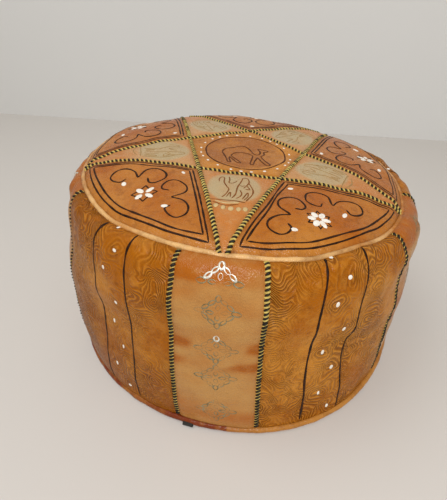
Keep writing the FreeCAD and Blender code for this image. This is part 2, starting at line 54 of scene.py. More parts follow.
# %% Sizes and the wall's section
RIM_R, RIM_Z = 0.180, 0.203
FOOT_R, FOOT_Z = 0.207, 0.0037
RIM_WELT, FOOT_WELT = 0.0025, 0.0035
CROWN, FULLNESS = 0.0195, 6
TOP_EDGE = RIM_R - 0.0013
STAR_LINE = 0.0583
GAP = 0.0002
LEATHER = 0.002
STAR_POINTS = 5
SECTOR = 360 // STAR_POINTS
HALF_SECTOR = math.radians(SECTOR / 2)
PLAIN_HALF = (11.5, 15, 15, 15, 15)
WALL_R, MEAN_WALL_R = 0.208, 0.205
CURVES_MEET = (WALL_R, RIM_Z - 0.056)
SHOULDER = ((0.1812, RIM_Z - 0.0012), (0.194, RIM_Z + 0.003), (0.207, RIM_Z - 0.013), CURVES_MEET)
DROP = (CURVES_MEET, (0.2092, 0.104), (0.2085, 0.04), (0.2068, 0.0074))


def bezier(corners, count):
    t = np.linspace(0, 1, count)[:, None]
    a, b, c, d = np.array(corners)
    return (1 - t) ** 3 * a + 3 * (1 - t) ** 2 * t * b + 3 * (1 - t) * t ** 2 * c + t ** 3 * d


wall_line = np.vstack([bezier(SHOULDER, 80), bezier(DROP, 80)[1:]])
wall_run = np.r_[0, np.cumsum(np.linalg.norm(np.diff(wall_line, axis=0), axis=1))]
WALL_LENGTH = wall_run[-1]
print(f"wall panel height along the leather: {WALL_LENGTH * 1000:.0f} mm")


def wall_section(s):
    """Radius and height at the share s of the way from the rim to the foot."""
    along = np.asarray(s) * WALL_LENGTH
    return np.interp(along, wall_run, wall_line[:, 0]), np.interp(along, wall_run, wall_line[:, 1])


# %% [markdown]
# ## Where the seams are
# The five star seams are straight lines across the top, each at the same distance from the middle.
# The ten wall seams run straight down. The distance to the nearest seam is needed often: leather is
# held down along a seam and swells between two of them.

# %% Distance to the nearest seam
SEAM_ANGLES = np.radians([k * SECTOR + side * PLAIN_HALF[k] for k in range(STAR_POINTS) for side in (-1, 1)])


def star_seam_distance(x, y):
    turns = np.radians(np.arange(STAR_POINTS) * SECTOR)
    return np.min([abs(x * np.sin(t) - y * np.cos(t) - STAR_LINE) for t in turns], axis=0)


def wall_seam_distance(theta):
    apart = [abs((theta - a + np.pi) % (2 * np.pi) - np.pi) for a in SEAM_ANGLES]
    return MEAN_WALL_R * np.min(apart, axis=0)


# %% [markdown]
# ## Stuffing the drum
# A stuffed cover swells between its seams. That is what Blender's Cloth is for: a closed drum of
# even rows is pinned along its seams and welts, and air pressure swells the rest for twenty frames.
# Rows run from the middle of the top over the rim to the foot, so the swelling can be read back at
# any place of the cover.

# %% The drum's grid
TURNS, TOP_ROWS, WALL_ROWS, BASE_ROWS = 160, 26, 34, 8
SWELL_CAP = 0.006
BASE_LEVEL, BASE_INSET = 0.0075, 0.004


def plain_skin(theta, m):
    """The smooth drum: m from 0 in the middle of the top to 1 at the rim and 2 at the foot."""
    theta, m = np.broadcast_arrays(np.asarray(theta, float), np.asarray(m, float))
    top_r = np.clip(m, 0, 1) * RIM_R
    top_z = RIM_Z + CROWN * (1 - (top_r / RIM_R) ** FULLNESS)
    wall_r, wall_z = wall_section(np.clip(m - 1, 0, 1))
    r = np.where(m <= 1, top_r, wall_r)
    z = np.where(m <= 1, top_z, wall_z)
    return np.stack([r * np.sin(theta), -r * np.cos(theta), z], -1)


def grid_faces(rows, columns, ring=False, closed=False):
    """Quads of a grid. A ring joins its last column to its first, and a closed one its rows too."""
    faces = []
    for row in range(rows if closed else rows - 1):
        for j in range(columns if ring else columns - 1):
            a, b = row * columns, (row + 1) % rows * columns
            k = (j + 1) % columns
            faces.append((a + j, b + j, b + k, a + k))
    return faces


def drum_faces(rows, turns):
    """Quads between rings of points, closed by a fan at a first and a last point."""
    faces = grid_faces(rows, turns, ring=True)
    first, last, end = rows * turns, rows * turns + 1, (rows - 1) * turns
    for j in range(turns):
        k = (j + 1) % turns
        faces.append((first, j, k))
        faces.append((last, end + k, end + j))
    return faces


def put(name, data):
    """Put mesh, camera or lamp data into the scene as an object."""
    made = bpy.data.objects.new(name, data)
    bpy.context.scene.collection.objects.link(made)
    return made


def mesh_object(name, points, faces):
    mesh = bpy.data.meshes.new(name)
    mesh.from_pydata(np.asarray(points).reshape(-1, 3).tolist(), [], faces)
    mesh.validate()
    mesh.polygons.foreach_set("use_smooth", [True] * len(mesh.polygons))
    return put(name, mesh)


turn_line = np.arange(TURNS) / TURNS * 2 * np.pi
row_line = np.r_[np.arange(1, TOP_ROWS + 1) / TOP_ROWS, 1 + np.arange(1, WALL_ROWS + 1) / WALL_ROWS]
rows_skin = plain_skin(turn_line[None, :], row_line[:, None])
base_rings = (FOOT_R - BASE_INSET) * np.linspace(1, 0.12, BASE_ROWS)
rows_base = np.stack([np.outer(base_rings, np.sin(turn_line)), -np.outer(base_rings, np.cos(turn_line)),
                      np.full((BASE_ROWS, TURNS), BASE_LEVEL)], -1)
poles = np.array([(0, 0, RIM_Z + CROWN), (0, 0, BASE_LEVEL)])
drum_points = np.vstack([rows_skin.reshape(-1, 3), rows_base.reshape(-1, 3), poles])
print("drum grid:", len(drum_points), "points")

# %% Swelling by simulation
SEAM_HOLD, POLE_HOLD = 0.006, 0.2
RIM_REACH, FOOT_REACH = 0.05, 0.08
CLOTH_FRAMES = 20
swell = np.zeros_like(rows_skin)
drum = mesh_object("drum_for_cloth", drum_points, drum_faces(len(row_line) + BASE_ROWS, TURNS))
top_seam = star_seam_distance(rows_skin[..., 0], rows_skin[..., 1])
wall_seam = wall_seam_distance(np.broadcast_to(turn_line, top_seam.shape))
seam = np.where(row_line[:, None] < 1, top_seam, wall_seam)
rim = RIM_REACH * abs(row_line - 1)[:, None]
foot = FOOT_REACH * (2 - row_line)[:, None]
hold = np.exp(-(np.minimum(np.minimum(seam, rim), foot) / SEAM_HOLD) ** 2)
pins = drum.vertex_groups.new(name="seams")
for index, weight in enumerate(np.r_[hold.ravel(), np.ones(BASE_ROWS * TURNS + 2)]):
    if index == hold.size + BASE_ROWS * TURNS:
        weight = POLE_HOLD
    pins.add([index], float(weight), "REPLACE")
cloth = drum.modifiers.new("cloth", "CLOTH")
cloth.settings.quality = 6
cloth.settings.mass = 0.3
cloth.settings.tension_stiffness = cloth.settings.compression_stiffness = 25
cloth.settings.bending_stiffness = 2
cloth.settings.vertex_group_mass = "seams"
cloth.settings.use_pressure = True
cloth.settings.uniform_pressure_force = 4
cloth.settings.effector_weights.gravity = 0
cloth.collision_settings.use_collision = False
for step in range(1, CLOTH_FRAMES + 1):
    bpy.context.scene.frame_set(step)
stuffed = drum.evaluated_get(bpy.context.evaluated_depsgraph_get()).data
moved = np.empty(len(drum_points) * 3)
stuffed.vertices.foreach_get("co", moved)
swell = (moved.reshape(-1, 3)[:rows_skin.size // 3] - drum_points[:rows_skin.size // 3])
swell = swell.reshape(rows_skin.shape)
bpy.context.scene.frame_set(1)
bpy.data.objects.remove(drum)
reach = np.linalg.norm(swell, axis=-1, keepdims=True)
swell = swell * SWELL_CAP / (SWELL_CAP + reach)
print(f"swelling: simulated up to {reach.max() * 1000:.1f} mm, kept up to "
      f"{np.linalg.norm(swell, axis=-1).max() * 1000:.1f} mm")

# %% [markdown]
# ## One soft form for every piece
# All pieces are laid on one function, `cover`, so that panels, lacing and ornaments meet. It reads
# the swelling between the grid's rows with a cubic curve, because straight steps would show as
# facets in the gloss. Then it adds what use has done to the pouf: seams drawn down, a fold round the
# middle of the wall where the leather has sunk over the filling, an uneven rim, and a slight lean.

# %% Helpers for soft bumps and for the swelling
def bell(distance, width):
    return np.exp(-(distance / width) ** 2)


RIPPLE_WAVES = 10


def ripples(points, size, seed):
    """Smooth bumps about size across, from -1 to 1, the same in every run."""
    rng = np.random.default_rng(seed)
    total = np.zeros(points.shape[:-1])
    for _ in range(RIPPLE_WAVES):
        way = rng.normal(size=3)
        way *= 2 * np.pi / (np.linalg.norm(way) * size * rng.uniform(1.3, 2.8))
        total += np.cos(points @ way + rng.uniform(0, 2 * np.pi))
    return total / math.sqrt(RIPPLE_WAVES)


def cubic(t):
    """Weights of four neighbours for a smooth curve through the two in the middle."""
    return ((2 * t * t - t - t ** 3) / 2, (2 - 5 * t * t + 3 * t ** 3) / 2,
            (t + 4 * t * t - 3 * t ** 3) / 2, (t ** 3 - t * t) / 2)


swell_rows = np.concatenate([np.broadcast_to(swell[0].mean(0), (1, TURNS, 3)), swell])


def swell_at(theta, m):
    column = theta / (2 * np.pi) * TURNS
    row = np.where(m <= 1, m * TOP_ROWS, TOP_ROWS + (m - 1) * WALL_ROWS)
    row_0, column_0 = np.floor(row).astype(int), np.floor(column).astype(int)
    total = np.zeros(theta.shape + (3,))
    for i, row_weight in enumerate(cubic(row - row_0)):
        line = np.clip(row_0 + i - 1, 0, len(swell_rows) - 1)
        for j, column_weight in enumerate(cubic(column - column_0)):
            total += (row_weight * column_weight)[..., None] * swell_rows[line, (column_0 + j - 1) % TURNS]
    return total


# %% What use has done to the shape
LEAN = -0.063
BELLY_SHIFT = -0.002
FOOT_SPREAD = 0.004
# Angle and spread in degrees, and out or in
FOOT_BENDS = ((22, 24, 1), (72, 22, -1))
# Angle and spread in degrees, height, reach up and down, and how far out
DENTS = ((-100, 45, 0.185, 0.030, -0.0075), (-62, 35, 0.150, 0.028, -0.0045),
         (-58, 35, 0.055, 0.050, 0.0050), (67, 25, 0.150, 0.022, -0.0045))
# Angle and spread in degrees, and how far up
RIM_DIPS = ((-130, 30, -0.0035), (148, 18, -0.0035), (116, 14, 0.0035))
SEAM_DIP, SEAM_WIDTH = 0.0013, 0.0034
# Height, distance from the rim and width
RIM_PROFILE = ((0.0016, 0.012, 0.006), (-0.001, 0.003, 0.003))
# Height, size and seed
UNEVENNESS = ((0.0008, 0.055, 3), (0.0004, 0.018, 4))
PUCKERS, PUCKER_HEIGHT = 117, 0.0004
# Height, count round the rim and start
RIM_WAVES = ((0.0016, 3, 0.9), (0.0011, 7, 2.1), (0.0007, 12, 0.0))
FOLD_HEIGHT, FOLD_WAVE, FOLD_DEPTH = 0.108, 0.026, 0.0012
# Depth, then angle from the front and spread in degrees
DEEPER_FOLDS = ((0.0052, 34, 15), (0.002, 140, 25))


def fold(theta, z):
    """How far the wall stands in or out round the fold at its middle."""
    degrees = abs(np.degrees(theta))
    depth = FOLD_DEPTH + sum(deep * bell(degrees - angle, spread) for deep, angle, spread in DEEPER_FOLDS)
    height = FOLD_HEIGHT + FOLD_WAVE * np.cos(2 * theta)
    below = z - (height - 0.010)
    sunk = bell(below, np.where(below > 0, 0.02, 0.045))
    return depth * (0.3 * bell(z - height - 0.02, 0.018) - sunk)


def foot_spread(theta):
    """How far the foot has spread at the front right, and drawn in beside that."""
    degrees = np.degrees(theta)
    return FOOT_SPREAD * sum(way * bell(degrees - angle, spread) for angle, spread, way in FOOT_BENDS)


# %% The cover's shape
def cover(theta, m):
    """Points on the outside of the leather."""
    theta, m = np.broadcast_arrays(np.asarray(theta, float), np.asarray(m, float))
    theta = (theta + np.pi) % (2 * np.pi) - np.pi
    points = plain_skin(theta, m) + swell_at(theta % (2 * np.pi), m)
    x, y, z = points[..., 0], points[..., 1], points[..., 2]
    on_top = m <= 1
    s = np.clip(m - 1, 0.002, 0.998)
    r_0, z_0 = wall_section(s - 0.002)
    r_1, z_1 = wall_section(s + 0.002)
    slope = np.arctan2(z_0 - z_1, r_1 - r_0)
    level, rise = np.where(on_top, 0, np.sin(slope)), np.where(on_top, 1, np.cos(slope))
    from_rim = np.where(on_top, (1 - m) * RIM_R, (m - 1) * WALL_LENGTH)
    seam = np.where(on_top, star_seam_distance(x, y), wall_seam_distance(theta))
    push = -SEAM_DIP * bell(seam, SEAM_WIDTH)
    push = push + sum(high * ripples(points, size, seed) for high, size, seed in UNEVENNESS)
    pucker = np.sin(PUCKERS * theta + 3 * np.sin(5 * theta)) * bell(from_rim - 0.004, 0.002)
    top_push = sum(high * bell(from_rim - inward, width) for high, inward, width in RIM_PROFILE)
    top_push = top_push + PUCKER_HEIGHT * pucker
    top_push = top_push + 0.0003 * ripples(points, 0.011, 6) * bell(from_rim - 0.008, 0.008)
    degrees = np.degrees(theta)
    creases = ripples(points * (1, 1, 0.45), 0.012, 5) * bell(from_rim - 0.03, 0.03)
    wall_push = fold(theta, z) + 0.0009 * creases
    for angle, spread, height, reach, out in DENTS:
        wall_push = wall_push + out * bell(degrees - angle, spread) * bell(z - height, reach)
    wall_push = wall_push + foot_spread(theta) * bell(z, 0.05)
    push = push + np.where(on_top, top_push, wall_push)
    wave = sum(high * np.sin(count * theta + start) for high, count, start in RIM_WAVES)
    for angle, spread, rise_by in RIM_DIPS:
        wave = wave + rise_by * bell(degrees - angle, spread)
    x = x + push * level * np.sin(theta) + BELLY_SHIFT * np.sin(np.pi * np.clip(z / RIM_Z, 0, 1))
    y = y - push * level * np.cos(theta)
    z = z + push * rise + wave * bell(from_rim, 0.025)
    z = z * (1 + LEAN * x / RIM_Z)
    return np.stack([x, y, z], -1)


def cover_top(x, y):
    return cover(np.arctan2(x, -y), np.hypot(x, y) / RIM_R)


def cover_wall(theta, s):
    return cover(theta, 1 + np.asarray(s))


print("top at the middle:", np.round(cover_top(np.array(0.001), np.array(0.0)) * 1000, 1), "mm")

# %% [markdown]
# ## The stuffing
# Under the leather lies the filling in its brown cotton lining. It is the same drum a little inside
# the leather, closed over the base, and it stands for the CAD model's stuffing.

# %% The stuffing piece
FILLING_INSET, FILLING_END = 0.0036, 1.97
FILLING_BASE, FILLING_POLES = (0.98, 0.98, 1.2), (1, 1, 0.97)
HALF_SIZE = np.array([0.2, 0.2, 0.1])


def inside(points, depth):
    """Move points in towards the drum's axis and middle height by about depth."""
    middle = HALF_SIZE * (0, 0, 1)
    return middle + (points - middle) * (1 - depth / HALF_SIZE)


filling_rows = inside(cover(turn_line[None, :], np.minimum(row_line, FILLING_END)[:, None]), FILLING_INSET)
filling_points = np.vstack([filling_rows.reshape(-1, 3), rows_base.reshape(-1, 3) * FILLING_BASE,
                            poles * FILLING_POLES])
stuffing = mesh_object("wool_filling", filling_points, drum_faces(len(row_line) + BASE_ROWS, TURNS))
print("filling:", len(stuffing.data.polygons), "faces")

# %% [markdown]
# ## Colours and small functions for nodes
# Colours are written as they would be picked from a picture, in sRGB, and turned to linear light
# for the shader. Small functions add a node, set its values and link its inputs.

# %% Colour and node helpers
def colour(hex_code):
    parts = [int(hex_code[i:i + 2], 16) / 255 for i in (1, 3, 5)]
    return tuple(c / 12.92 if c <= 0.04045 else ((c + 0.055) / 1.055) ** 2.4 for c in parts) + (1,)


def wire(tree, node, inputs):
    """Set a node's inputs to values or hex colours, or link them to nodes and sockets."""
    for key, value in inputs.items():
        if isinstance(value, bpy.types.Node):
            value = value.outputs[0]
        if isinstance(value, bpy.types.NodeSocket):
            tree.links.new(value, node.inputs[key])
        elif isinstance(value, str) and value.startswith("#"):
            node.inputs[key].default_value = colour(value)
        else:
            node.inputs[key].default_value = value


def add(tree, kind, inputs=None, **settings):
    """Add one node. Settings are its properties, and inputs are wired as above."""
    made = tree.nodes.new(kind)
    for name, value in settings.items():
        setattr(made, name, value)
    wire(tree, made, inputs or {})
    return made


def calc(tree, operation, *values, **settings):
    return add(tree, "ShaderNodeMath", dict(enumerate(values)), operation=operation, **settings)


def span(tree, value, low, high, to_low=0.0, to_high=1.0, **settings):
    """Map the span from low to high onto another one."""
    return add(tree, "ShaderNodeMapRange", dict(enumerate((value, low, high, to_low, to_high))), **settings)


def mix(tree, share, first, second):
    return add(tree, "ShaderNodeMix", {0: share, 6: first, 7: second}, data_type="RGBA").outputs[2]


def place(tree):
    return add(tree, "ShaderNodeTexCoord").outputs["Object"]


def noise(tree, size, **inputs):
    """Smooth noise in patches of about that size, fixed to the object."""
    return add(tree, "ShaderNodeTexNoise", {"Vector": place(tree), "Scale": 1 / size, **inputs})


def stored(tree, name):
    """A value that the panel's points carry."""
    return add(tree, "ShaderNodeAttribute", attribute_name=name).outputs["Fac"]


def new_material(name):
    material = bpy.data.materials.new(name)
    material.use_nodes = True
    tree = material.node_tree
    tree.nodes.clear()
    shader = add(tree, "ShaderNodeBsdfPrincipled")
    add(tree, "ShaderNodeOutputMaterial", {"Surface": shader})
    return material, tree, shader


# %% [markdown]
# ## Goat leather
# The leather is vegetable-tanned goatskin, stained by hand and waxed. It gives the eye three things:
# clouds of uneven stain some centimetres wide, a fine pebble grain (about 1 mm on the real skin,
# drawn at 1.6 mm so that it shows), and a waxy gloss that the grain breaks up. Two attributes steer
# it from the panels: `tan` turns cream skin orange, and `dirt` darkens seams and stains and also
# carries painted shade: a shadow band under the rim welt, shade in the welt's creases, and, with more
# `tan`, the shaded front-left tooled panel. Less `tan` at the front of the rim welt paints a highlight
# there. Star points also carry `stamp`, a pale disc, and tooled panels carry the `contour` and `depth`
# of their lines.

# %% Leather material
PEBBLE, FLECK, WRINKLE = 0.0016, 0.007, 0.011


def leather(name, cream, tan, dark, roughness=0.3, cloud_size=0.05, cloud=0.5, fleck=0.4, shine=0.28,
            stamp=None, tooled=False):
    material, tree, shader = new_material(name)
    clouds = noise(tree, cloud_size, Detail=5, Roughness=0.6)
    flecks = noise(tree, FLECK, Detail=4, Roughness=0.65)
    wrinkles = noise(tree, WRINKLE, Detail=6, Roughness=0.6, Distortion=0.8)
    pebbles = add(tree, "ShaderNodeTexVoronoi", {"Vector": place(tree), "Scale": 1 / PEBBLE})
    uneven = span(tree, clouds, 0.3, 0.7, -cloud, cloud, clamp=False)
    # The stored tan also holds a painted highlight on the front of the rim welt and painted shade on the
    # front-left tooled panel.
    stain_and_light = calc(tree, "ADD", stored(tree, "tan"), uneven, use_clamp=True)
    spots = span(tree, flecks, 0.5, 0.72, 0.0, fleck)
    # The stored dirt also holds painted shade, so this darkening is partly painted shade and partly dirt.
    grime_and_shade = calc(tree, "ADD", stored(tree, "dirt"), spots, use_clamp=True)
    worn_and_shaded = mix(tree, grime_and_shade, mix(tree, stain_and_light, cream, tan), dark)
    worn_and_shaded = mix(tree, span(tree, wrinkles, 0.52, 0.72, 0.0, 0.4), worn_and_shaded, cream)
    height = calc(tree, "MULTIPLY_ADD", pebbles, 0.35, wrinkles)
    if stamp:
        worn_and_shaded = mix(tree, stored(tree, "stamp"), worn_and_shaded, stamp)
    if tooled:
        wave = calc(tree, "SINE", calc(tree, "MULTIPLY", stored(tree, "contour"), 2 * math.pi))
        worked = calc(tree, "MULTIPLY", stored(tree, "depth"), span(tree, wrinkles, 0.34, 0.48))
        for low, high, share, tone in ((0.2, -0.8, 0.5, dark), (0.1, 0.9, 0.75, cream)):
            pressed = calc(tree, "MULTIPLY", span(tree, wave, low, high, 0.0, share), worked)
            worn_and_shaded = mix(tree, pressed, worn_and_shaded, tone)
        height = calc(tree, "MULTIPLY_ADD", calc(tree, "MULTIPLY", wave, worked), 0.9, height)
    bump = add(tree, "ShaderNodeBump", {"Height": height, "Strength": 0.75, "Distance": 0.0012})
    gloss = span(tree, flecks, 0.3, 0.7, roughness - 0.07, roughness + 0.1)
    wire(tree, shader, {"Base Color": worn_and_shaded, "Roughness": gloss, "Normal": bump, "IOR": 1.46,
                        "Specular IOR Level": shine})
    return material


flower_leather = leather("stained_goat_leather_orange", "#b3722a", "#a25708", "#5d2c06")
star_leather = leather("goat_leather_cream", "#bf9665", "#b97232", "#775024", cloud=0.3, fleck=0.15,
                       stamp="#b09a72")
plain_leather = leather("goat_leather_tan", "#b38348", "#a2580e", "#7d450e", cloud=0.25, fleck=0.12,
                        shine=0.25)
tooled_leather = leather("tooled_goat_leather", "#bd7d2c", "#9f5a07", "#582b04", roughness=0.32, cloud=0.6,
                         cloud_size=0.03, shine=0.13, tooled=True)
medallion_leather = leather("goat_leather_medallion", "#bf7c26", "#9c5a12", "#65370b")
rim_leather = leather("goat_leather_welt", "#d8ab70", "#b06a1c", "#87582c")
foot_leather = leather("goat_leather_foot_welt", "#b57a34", "#76300f", "#48200c", cloud=0.3)
# Split leather has no grain side, so the base is rough and takes hardly any gloss.
base_leather = leather("split_leather_base", "#a3764a", "#8a5c34", "#5a3a20", roughness=0.6)
# The lining round the filling shows only as a dull brown line between two panels.
lining_cotton = leather("cotton_lining_brown", "#8a6238", "#7a5230", "#4f341c", roughness=0.8, shine=0.1)
print("leathers:", [m.name for m in bpy.data.materials])

# %% [markdown]
# ## Leather panels
# Each panel is a grid laid on the cover, given its thickness by Solidify. A grid is the plainest way
# to follow a curved form, and its points can carry the stain as attributes.

# %% Making a panel
def store(mesh, label, values):
    """Keep a value or a vector for each point of a mesh."""
    values = np.asarray(values, np.float32)
    kind, key = ("FLOAT", "value") if values.ndim == 1 else ("FLOAT_VECTOR", "vector")
    mesh.attributes.new(label, kind, "POINT").data.foreach_set(key, values.ravel())


def mark(piece, **marks):
    """Store values for the material on the piece's points."""
    for label, values in marks.items():
        store(piece.data, label, np.broadcast_to(values, len(piece.data.vertices)))


def dress(piece, slot, *nodes):
    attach(piece, "cover")
    if nodes:
        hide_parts(*nodes)


def leather_sheet(name, node, slot, points, material, flat=None, area=None, thickness=LEATHER, faces=None,
                  **marks):
    piece = mesh_object(name, points, faces or grid_faces(*points.shape[:2]))
    mark(piece, **{key: np.ravel(values) for key, values in marks.items()})
    piece.data.materials.append(material)
    solid = piece.modifiers.new("thickness", "SOLIDIFY")
    solid.thickness = thickness
    solid.offset = -1
    dress(piece, slot, node)


def fade(distance, width):
    """1 inside an edge and 0 outside it, with a soft step of that width."""
    return 1 / (1 + np.exp(distance / width))


def turned(across, out, turn):
    """A place given across and out from the middle of the top, on the panel at that turn."""
    t = math.radians(turn)
    return across * math.cos(t) + out * math.sin(t), across * math.sin(t) - out * math.cos(t)


stuffing.data.materials.append(lining_cotton)
dress(stuffing, "filling", "stuffing")

# %% [markdown]
# ## The top: flower panels, star points and the middle
# A flower panel fans out from a corner of the pentagon to the rim. A star point runs from a side of
# the pentagon to its cut-off tip. The middle is a pentagon of rings round one point.

# %% Flower panels
OUTER, INNER = STAR_LINE + GAP, STAR_LINE - GAP
FAN = math.acos(OUTER / TOP_EDGE) - HALF_SECTOR
APEX = OUTER / math.cos(HALF_SECTOR)
FAN_COLUMNS, FAN_ROWS = 110, 64
u = np.linspace(-1, 1, FAN_COLUMNS)[None, :]
v = np.linspace(0.003, 1, FAN_ROWS)[:, None]
fan_across = v * TOP_EDGE * np.sin(u * FAN)
fan_out = APEX + v * (TOP_EDGE * np.cos(u * FAN) - APEX)
fan_flat = (2 * TOP_EDGE * math.sin(FAN), TOP_EDGE - APEX)
fan_area = TOP_EDGE ** 2 * FAN - APEX * TOP_EDGE * math.sin(FAN)
for k in range(STAR_POINTS):
    x, y = turned(fan_across, fan_out, (k + 0.5) * SECTOR)
    from_rim = TOP_EDGE - np.hypot(x, y)
    points = cover_top(x, y)
    tan = 0.72 - 0.62 * bell(from_rim, 0.013) + 0.2 * ripples(points, 0.03, 20 + k)
    dirt = 0.35 * bell(star_seam_distance(x, y), 0.005) + 0.3 * bell(from_rim, 0.002)
    leather_sheet(f"flower_leather_{k + 1}", f"flower_panel_{k + 1}", "leather_star", points,
                  flower_leather, fan_flat, fan_area, tan=tan, dirt=dirt)
print(f"flower panels: {fan_flat[0] * 1000:.0f} x {fan_flat[1] * 1000:.0f} mm each")

# %% Star points
turn = math.radians(SECTOR)
POINT_HALF = (INNER - OUTER * math.cos(turn)) / math.sin(turn)
TIP_TURN = turn - math.acos(INNER / TOP_EDGE)
TIP_STAIN_FROM = 0.112
STAMP_OUT, STAMP_SHIFT, STAMP_HALF_WIDE, STAMP_HALF_LONG = 0.0915, 0.0015, 0.026, 0.028
POINT_COLUMNS, POINT_ROWS = 52, 80
u = np.linspace(-1, 1, POINT_COLUMNS)[None, :]
v = np.linspace(0, 1, POINT_ROWS)[:, None]
point_across = (1 - v) * u * POINT_HALF + v * TOP_EDGE * np.sin(u * TIP_TURN)
point_out = (1 - v) * OUTER + v * TOP_EDGE * np.cos(u * TIP_TURN)
point_flat = (2 * POINT_HALF, TOP_EDGE - OUTER)
point_area = (POINT_HALF + TOP_EDGE * math.sin(TIP_TURN)) * (TOP_EDGE - OUTER)
for k in range(STAR_POINTS):
    x, y = turned(point_across, point_out, k * SECTOR)
    points = cover_top(x, y)
    oval = np.hypot((point_across + STAMP_SHIFT) / STAMP_HALF_WIDE, (point_out - STAMP_OUT) / STAMP_HALF_LONG)
    stamp = 0.9 * fade(oval - 1, 0.025) + 0.1 * ripples(points, 0.012, 40 + k)
    tan = (0.85 if k == 0 else 0.4) + 0.5 * bell(point_out - OUTER, 0.006)
    tan += 0.6 * np.clip((point_out - TIP_STAIN_FROM) / 0.03, 0, 1)
    dirt = 0.35 * bell(star_seam_distance(x, y), 0.004)
    leather_sheet(f"star_leather_{k + 1}", f"star_point_{k + 1}", "leather_cream", points,
                  star_leather, point_flat, point_area, tan=tan, dirt=dirt, stamp=np.clip(stamp, 0, 1))
print(f"star points: {point_flat[0] * 1000:.0f} x {point_flat[1] * 1000:.0f} mm each")

# %% The pentagon
MEDALLION_R = 0.044
RINGS, SPOKES = 48, 200
spoke = np.arange(SPOKES) / SPOKES * 2 * np.pi
edge = INNER / np.cos((spoke + HALF_SECTOR) % (2 * HALF_SECTOR) - HALF_SECTOR)
ring = (np.arange(1, RINGS + 1) / RINGS)[:, None]
x, y = ring * edge * np.sin(spoke), -ring * edge * np.cos(spoke)
x, y = np.r_[x.ravel(), 0.0], np.r_[y.ravel(), 0.0]
middle_faces = [face for face in drum_faces(RINGS, SPOKES) if max(face) <= RINGS * SPOKES]
points = cover_top(x, y)
within = fade(np.hypot(x, y) - MEDALLION_R, 0.0008)
leather_sheet("middle_leather", "centre_pentagon", "leather_star", points, medallion_leather,
              (2 * APEX, 2 * APEX), STAR_POINTS * INNER ** 2 * math.tan(HALF_SECTOR), faces=middle_faces,
              tan=0.2 + 0.7 * within + 0.15 * ripples(points, 0.02, 60),
              dirt=0.35 * bell(star_seam_distance(x, y), 0.005))
print("pentagon:", len(middle_faces), "faces")

# %% [markdown]
# ## The wall: plain and tooled panels
# Wall panels are grids of angle and length down the wall. The stain of the plain panels is in
# bands: orange at the shoulder, cream below, with smears. The tooled panels are pressed with contour
# lines, like rings of a burl, 3 mm apart. Lines that fine would need a very dense mesh, so the grid
# carries only their phase as an attribute, and the material turns it into grooves.

# %% Plain wall panels
PLAIN_STEP, ORANGE_FROM = 0.0018, 0.189
SMEAR_HEIGHTS, FOOT_BAND, MIDDLE_BAND = (0.122, 0.099), 0.023, 0.135


def wall_grid(start, end, step):
    columns = round((end - start) * WALL_R / step)
    rows = round(WALL_LENGTH / step)
    s, theta = np.meshgrid(np.linspace(0, 1, rows), np.linspace(start, end, columns), indexing="ij")
    return theta, s


for k in range(STAR_POINTS):
    middle, half_turn = math.radians(k * SECTOR), math.radians(PLAIN_HALF[k]) - GAP / WALL_R
    theta, s = wall_grid(middle - half_turn, middle + half_turn, PLAIN_STEP)
    points = cover_wall(theta, s)
    height = wall_section(s)[1]
    band = height + 0.002 * ripples(points * (1, 1, 0.2), 0.03, 70 + k)
    tan = 0.1 + 0.85 * fade(ORANGE_FROM - band, 0.0013)
    patchy = np.clip(0.5 + 0.8 * ripples(points, 0.03, 75 + k), 0, 1)
    smear = patchy * sum(bell(band - level, 0.006) for level in SMEAR_HEIGHTS)
    tan += 0.13 * ripples(points * (0.35, 0.35, 2.5), 0.02, 78 + k)
    tan += 1.6 * smear + 0.6 * bell(band - FOOT_BAND, 0.012) + 0.2 * bell(height - MIDDLE_BAND, 0.012)
    # Painted shadow: a dark band just under the rim, where the welt shades the wall. The seam lines and
    # smears are dirt and stain.
    dirt = 0.25 * bell(wall_seam_distance(theta), 0.004) + 0.5 * bell(s, 0.012) + 0.3 * smear
    leather_sheet(f"plain_leather_{k + 1}", f"plain_side_panel_{k + 1}", "leather_cream", points,
                  plain_leather, (2 * half_turn * WALL_R, WALL_LENGTH), tan=tan, dirt=dirt)
    print(f"plain panel {k + 1}: {2 * half_turn * WALL_R * 1000:.0f} x {WALL_LENGTH * 1000:.0f} mm")

# %% Pressed lines of the tooled panels
LINE_PITCH, SCROLL_PITCH, BURLS = 0.003, 0.0046, 70
WALL_LINES = ((24.6, 36.8), None, None, None, (323.6, 335.6))
DOT_SHARES = (0.012, 0.115, 0.225, 0.385, 0.545, 0.665, 0.815, 0.945)


def strip_of(k):
    """Angles of the two drawn lines of a tooled panel."""
    start = k * SECTOR + PLAIN_HALF[k]
    width = SECTOR - PLAIN_HALF[k] - PLAIN_HALF[(k + 1) % STAR_POINTS]
    return WALL_LINES[k] or (start + 0.33 * width, start + 0.63 * width)


def dot_places(k):
    """Angles and shares down the wall of the dots between those lines."""
    middle = sum(strip_of(k)) / 2
    sway = np.where(np.arange(len(DOT_SHARES)) % 2, 2.2, -1.4)
    return np.radians(middle + sway), np.array(DOT_SHARES)


def rings(across, down, centres, stretch):
    """Distance to the nearest of some centres, each ring pulled out of round."""
    nearest = np.full(across.shape, 1.0)
    for (x, y), pull in zip(centres, stretch):
        nearest = np.minimum(nearest, np.hypot((across - x) * pull, down - y))
    return nearest


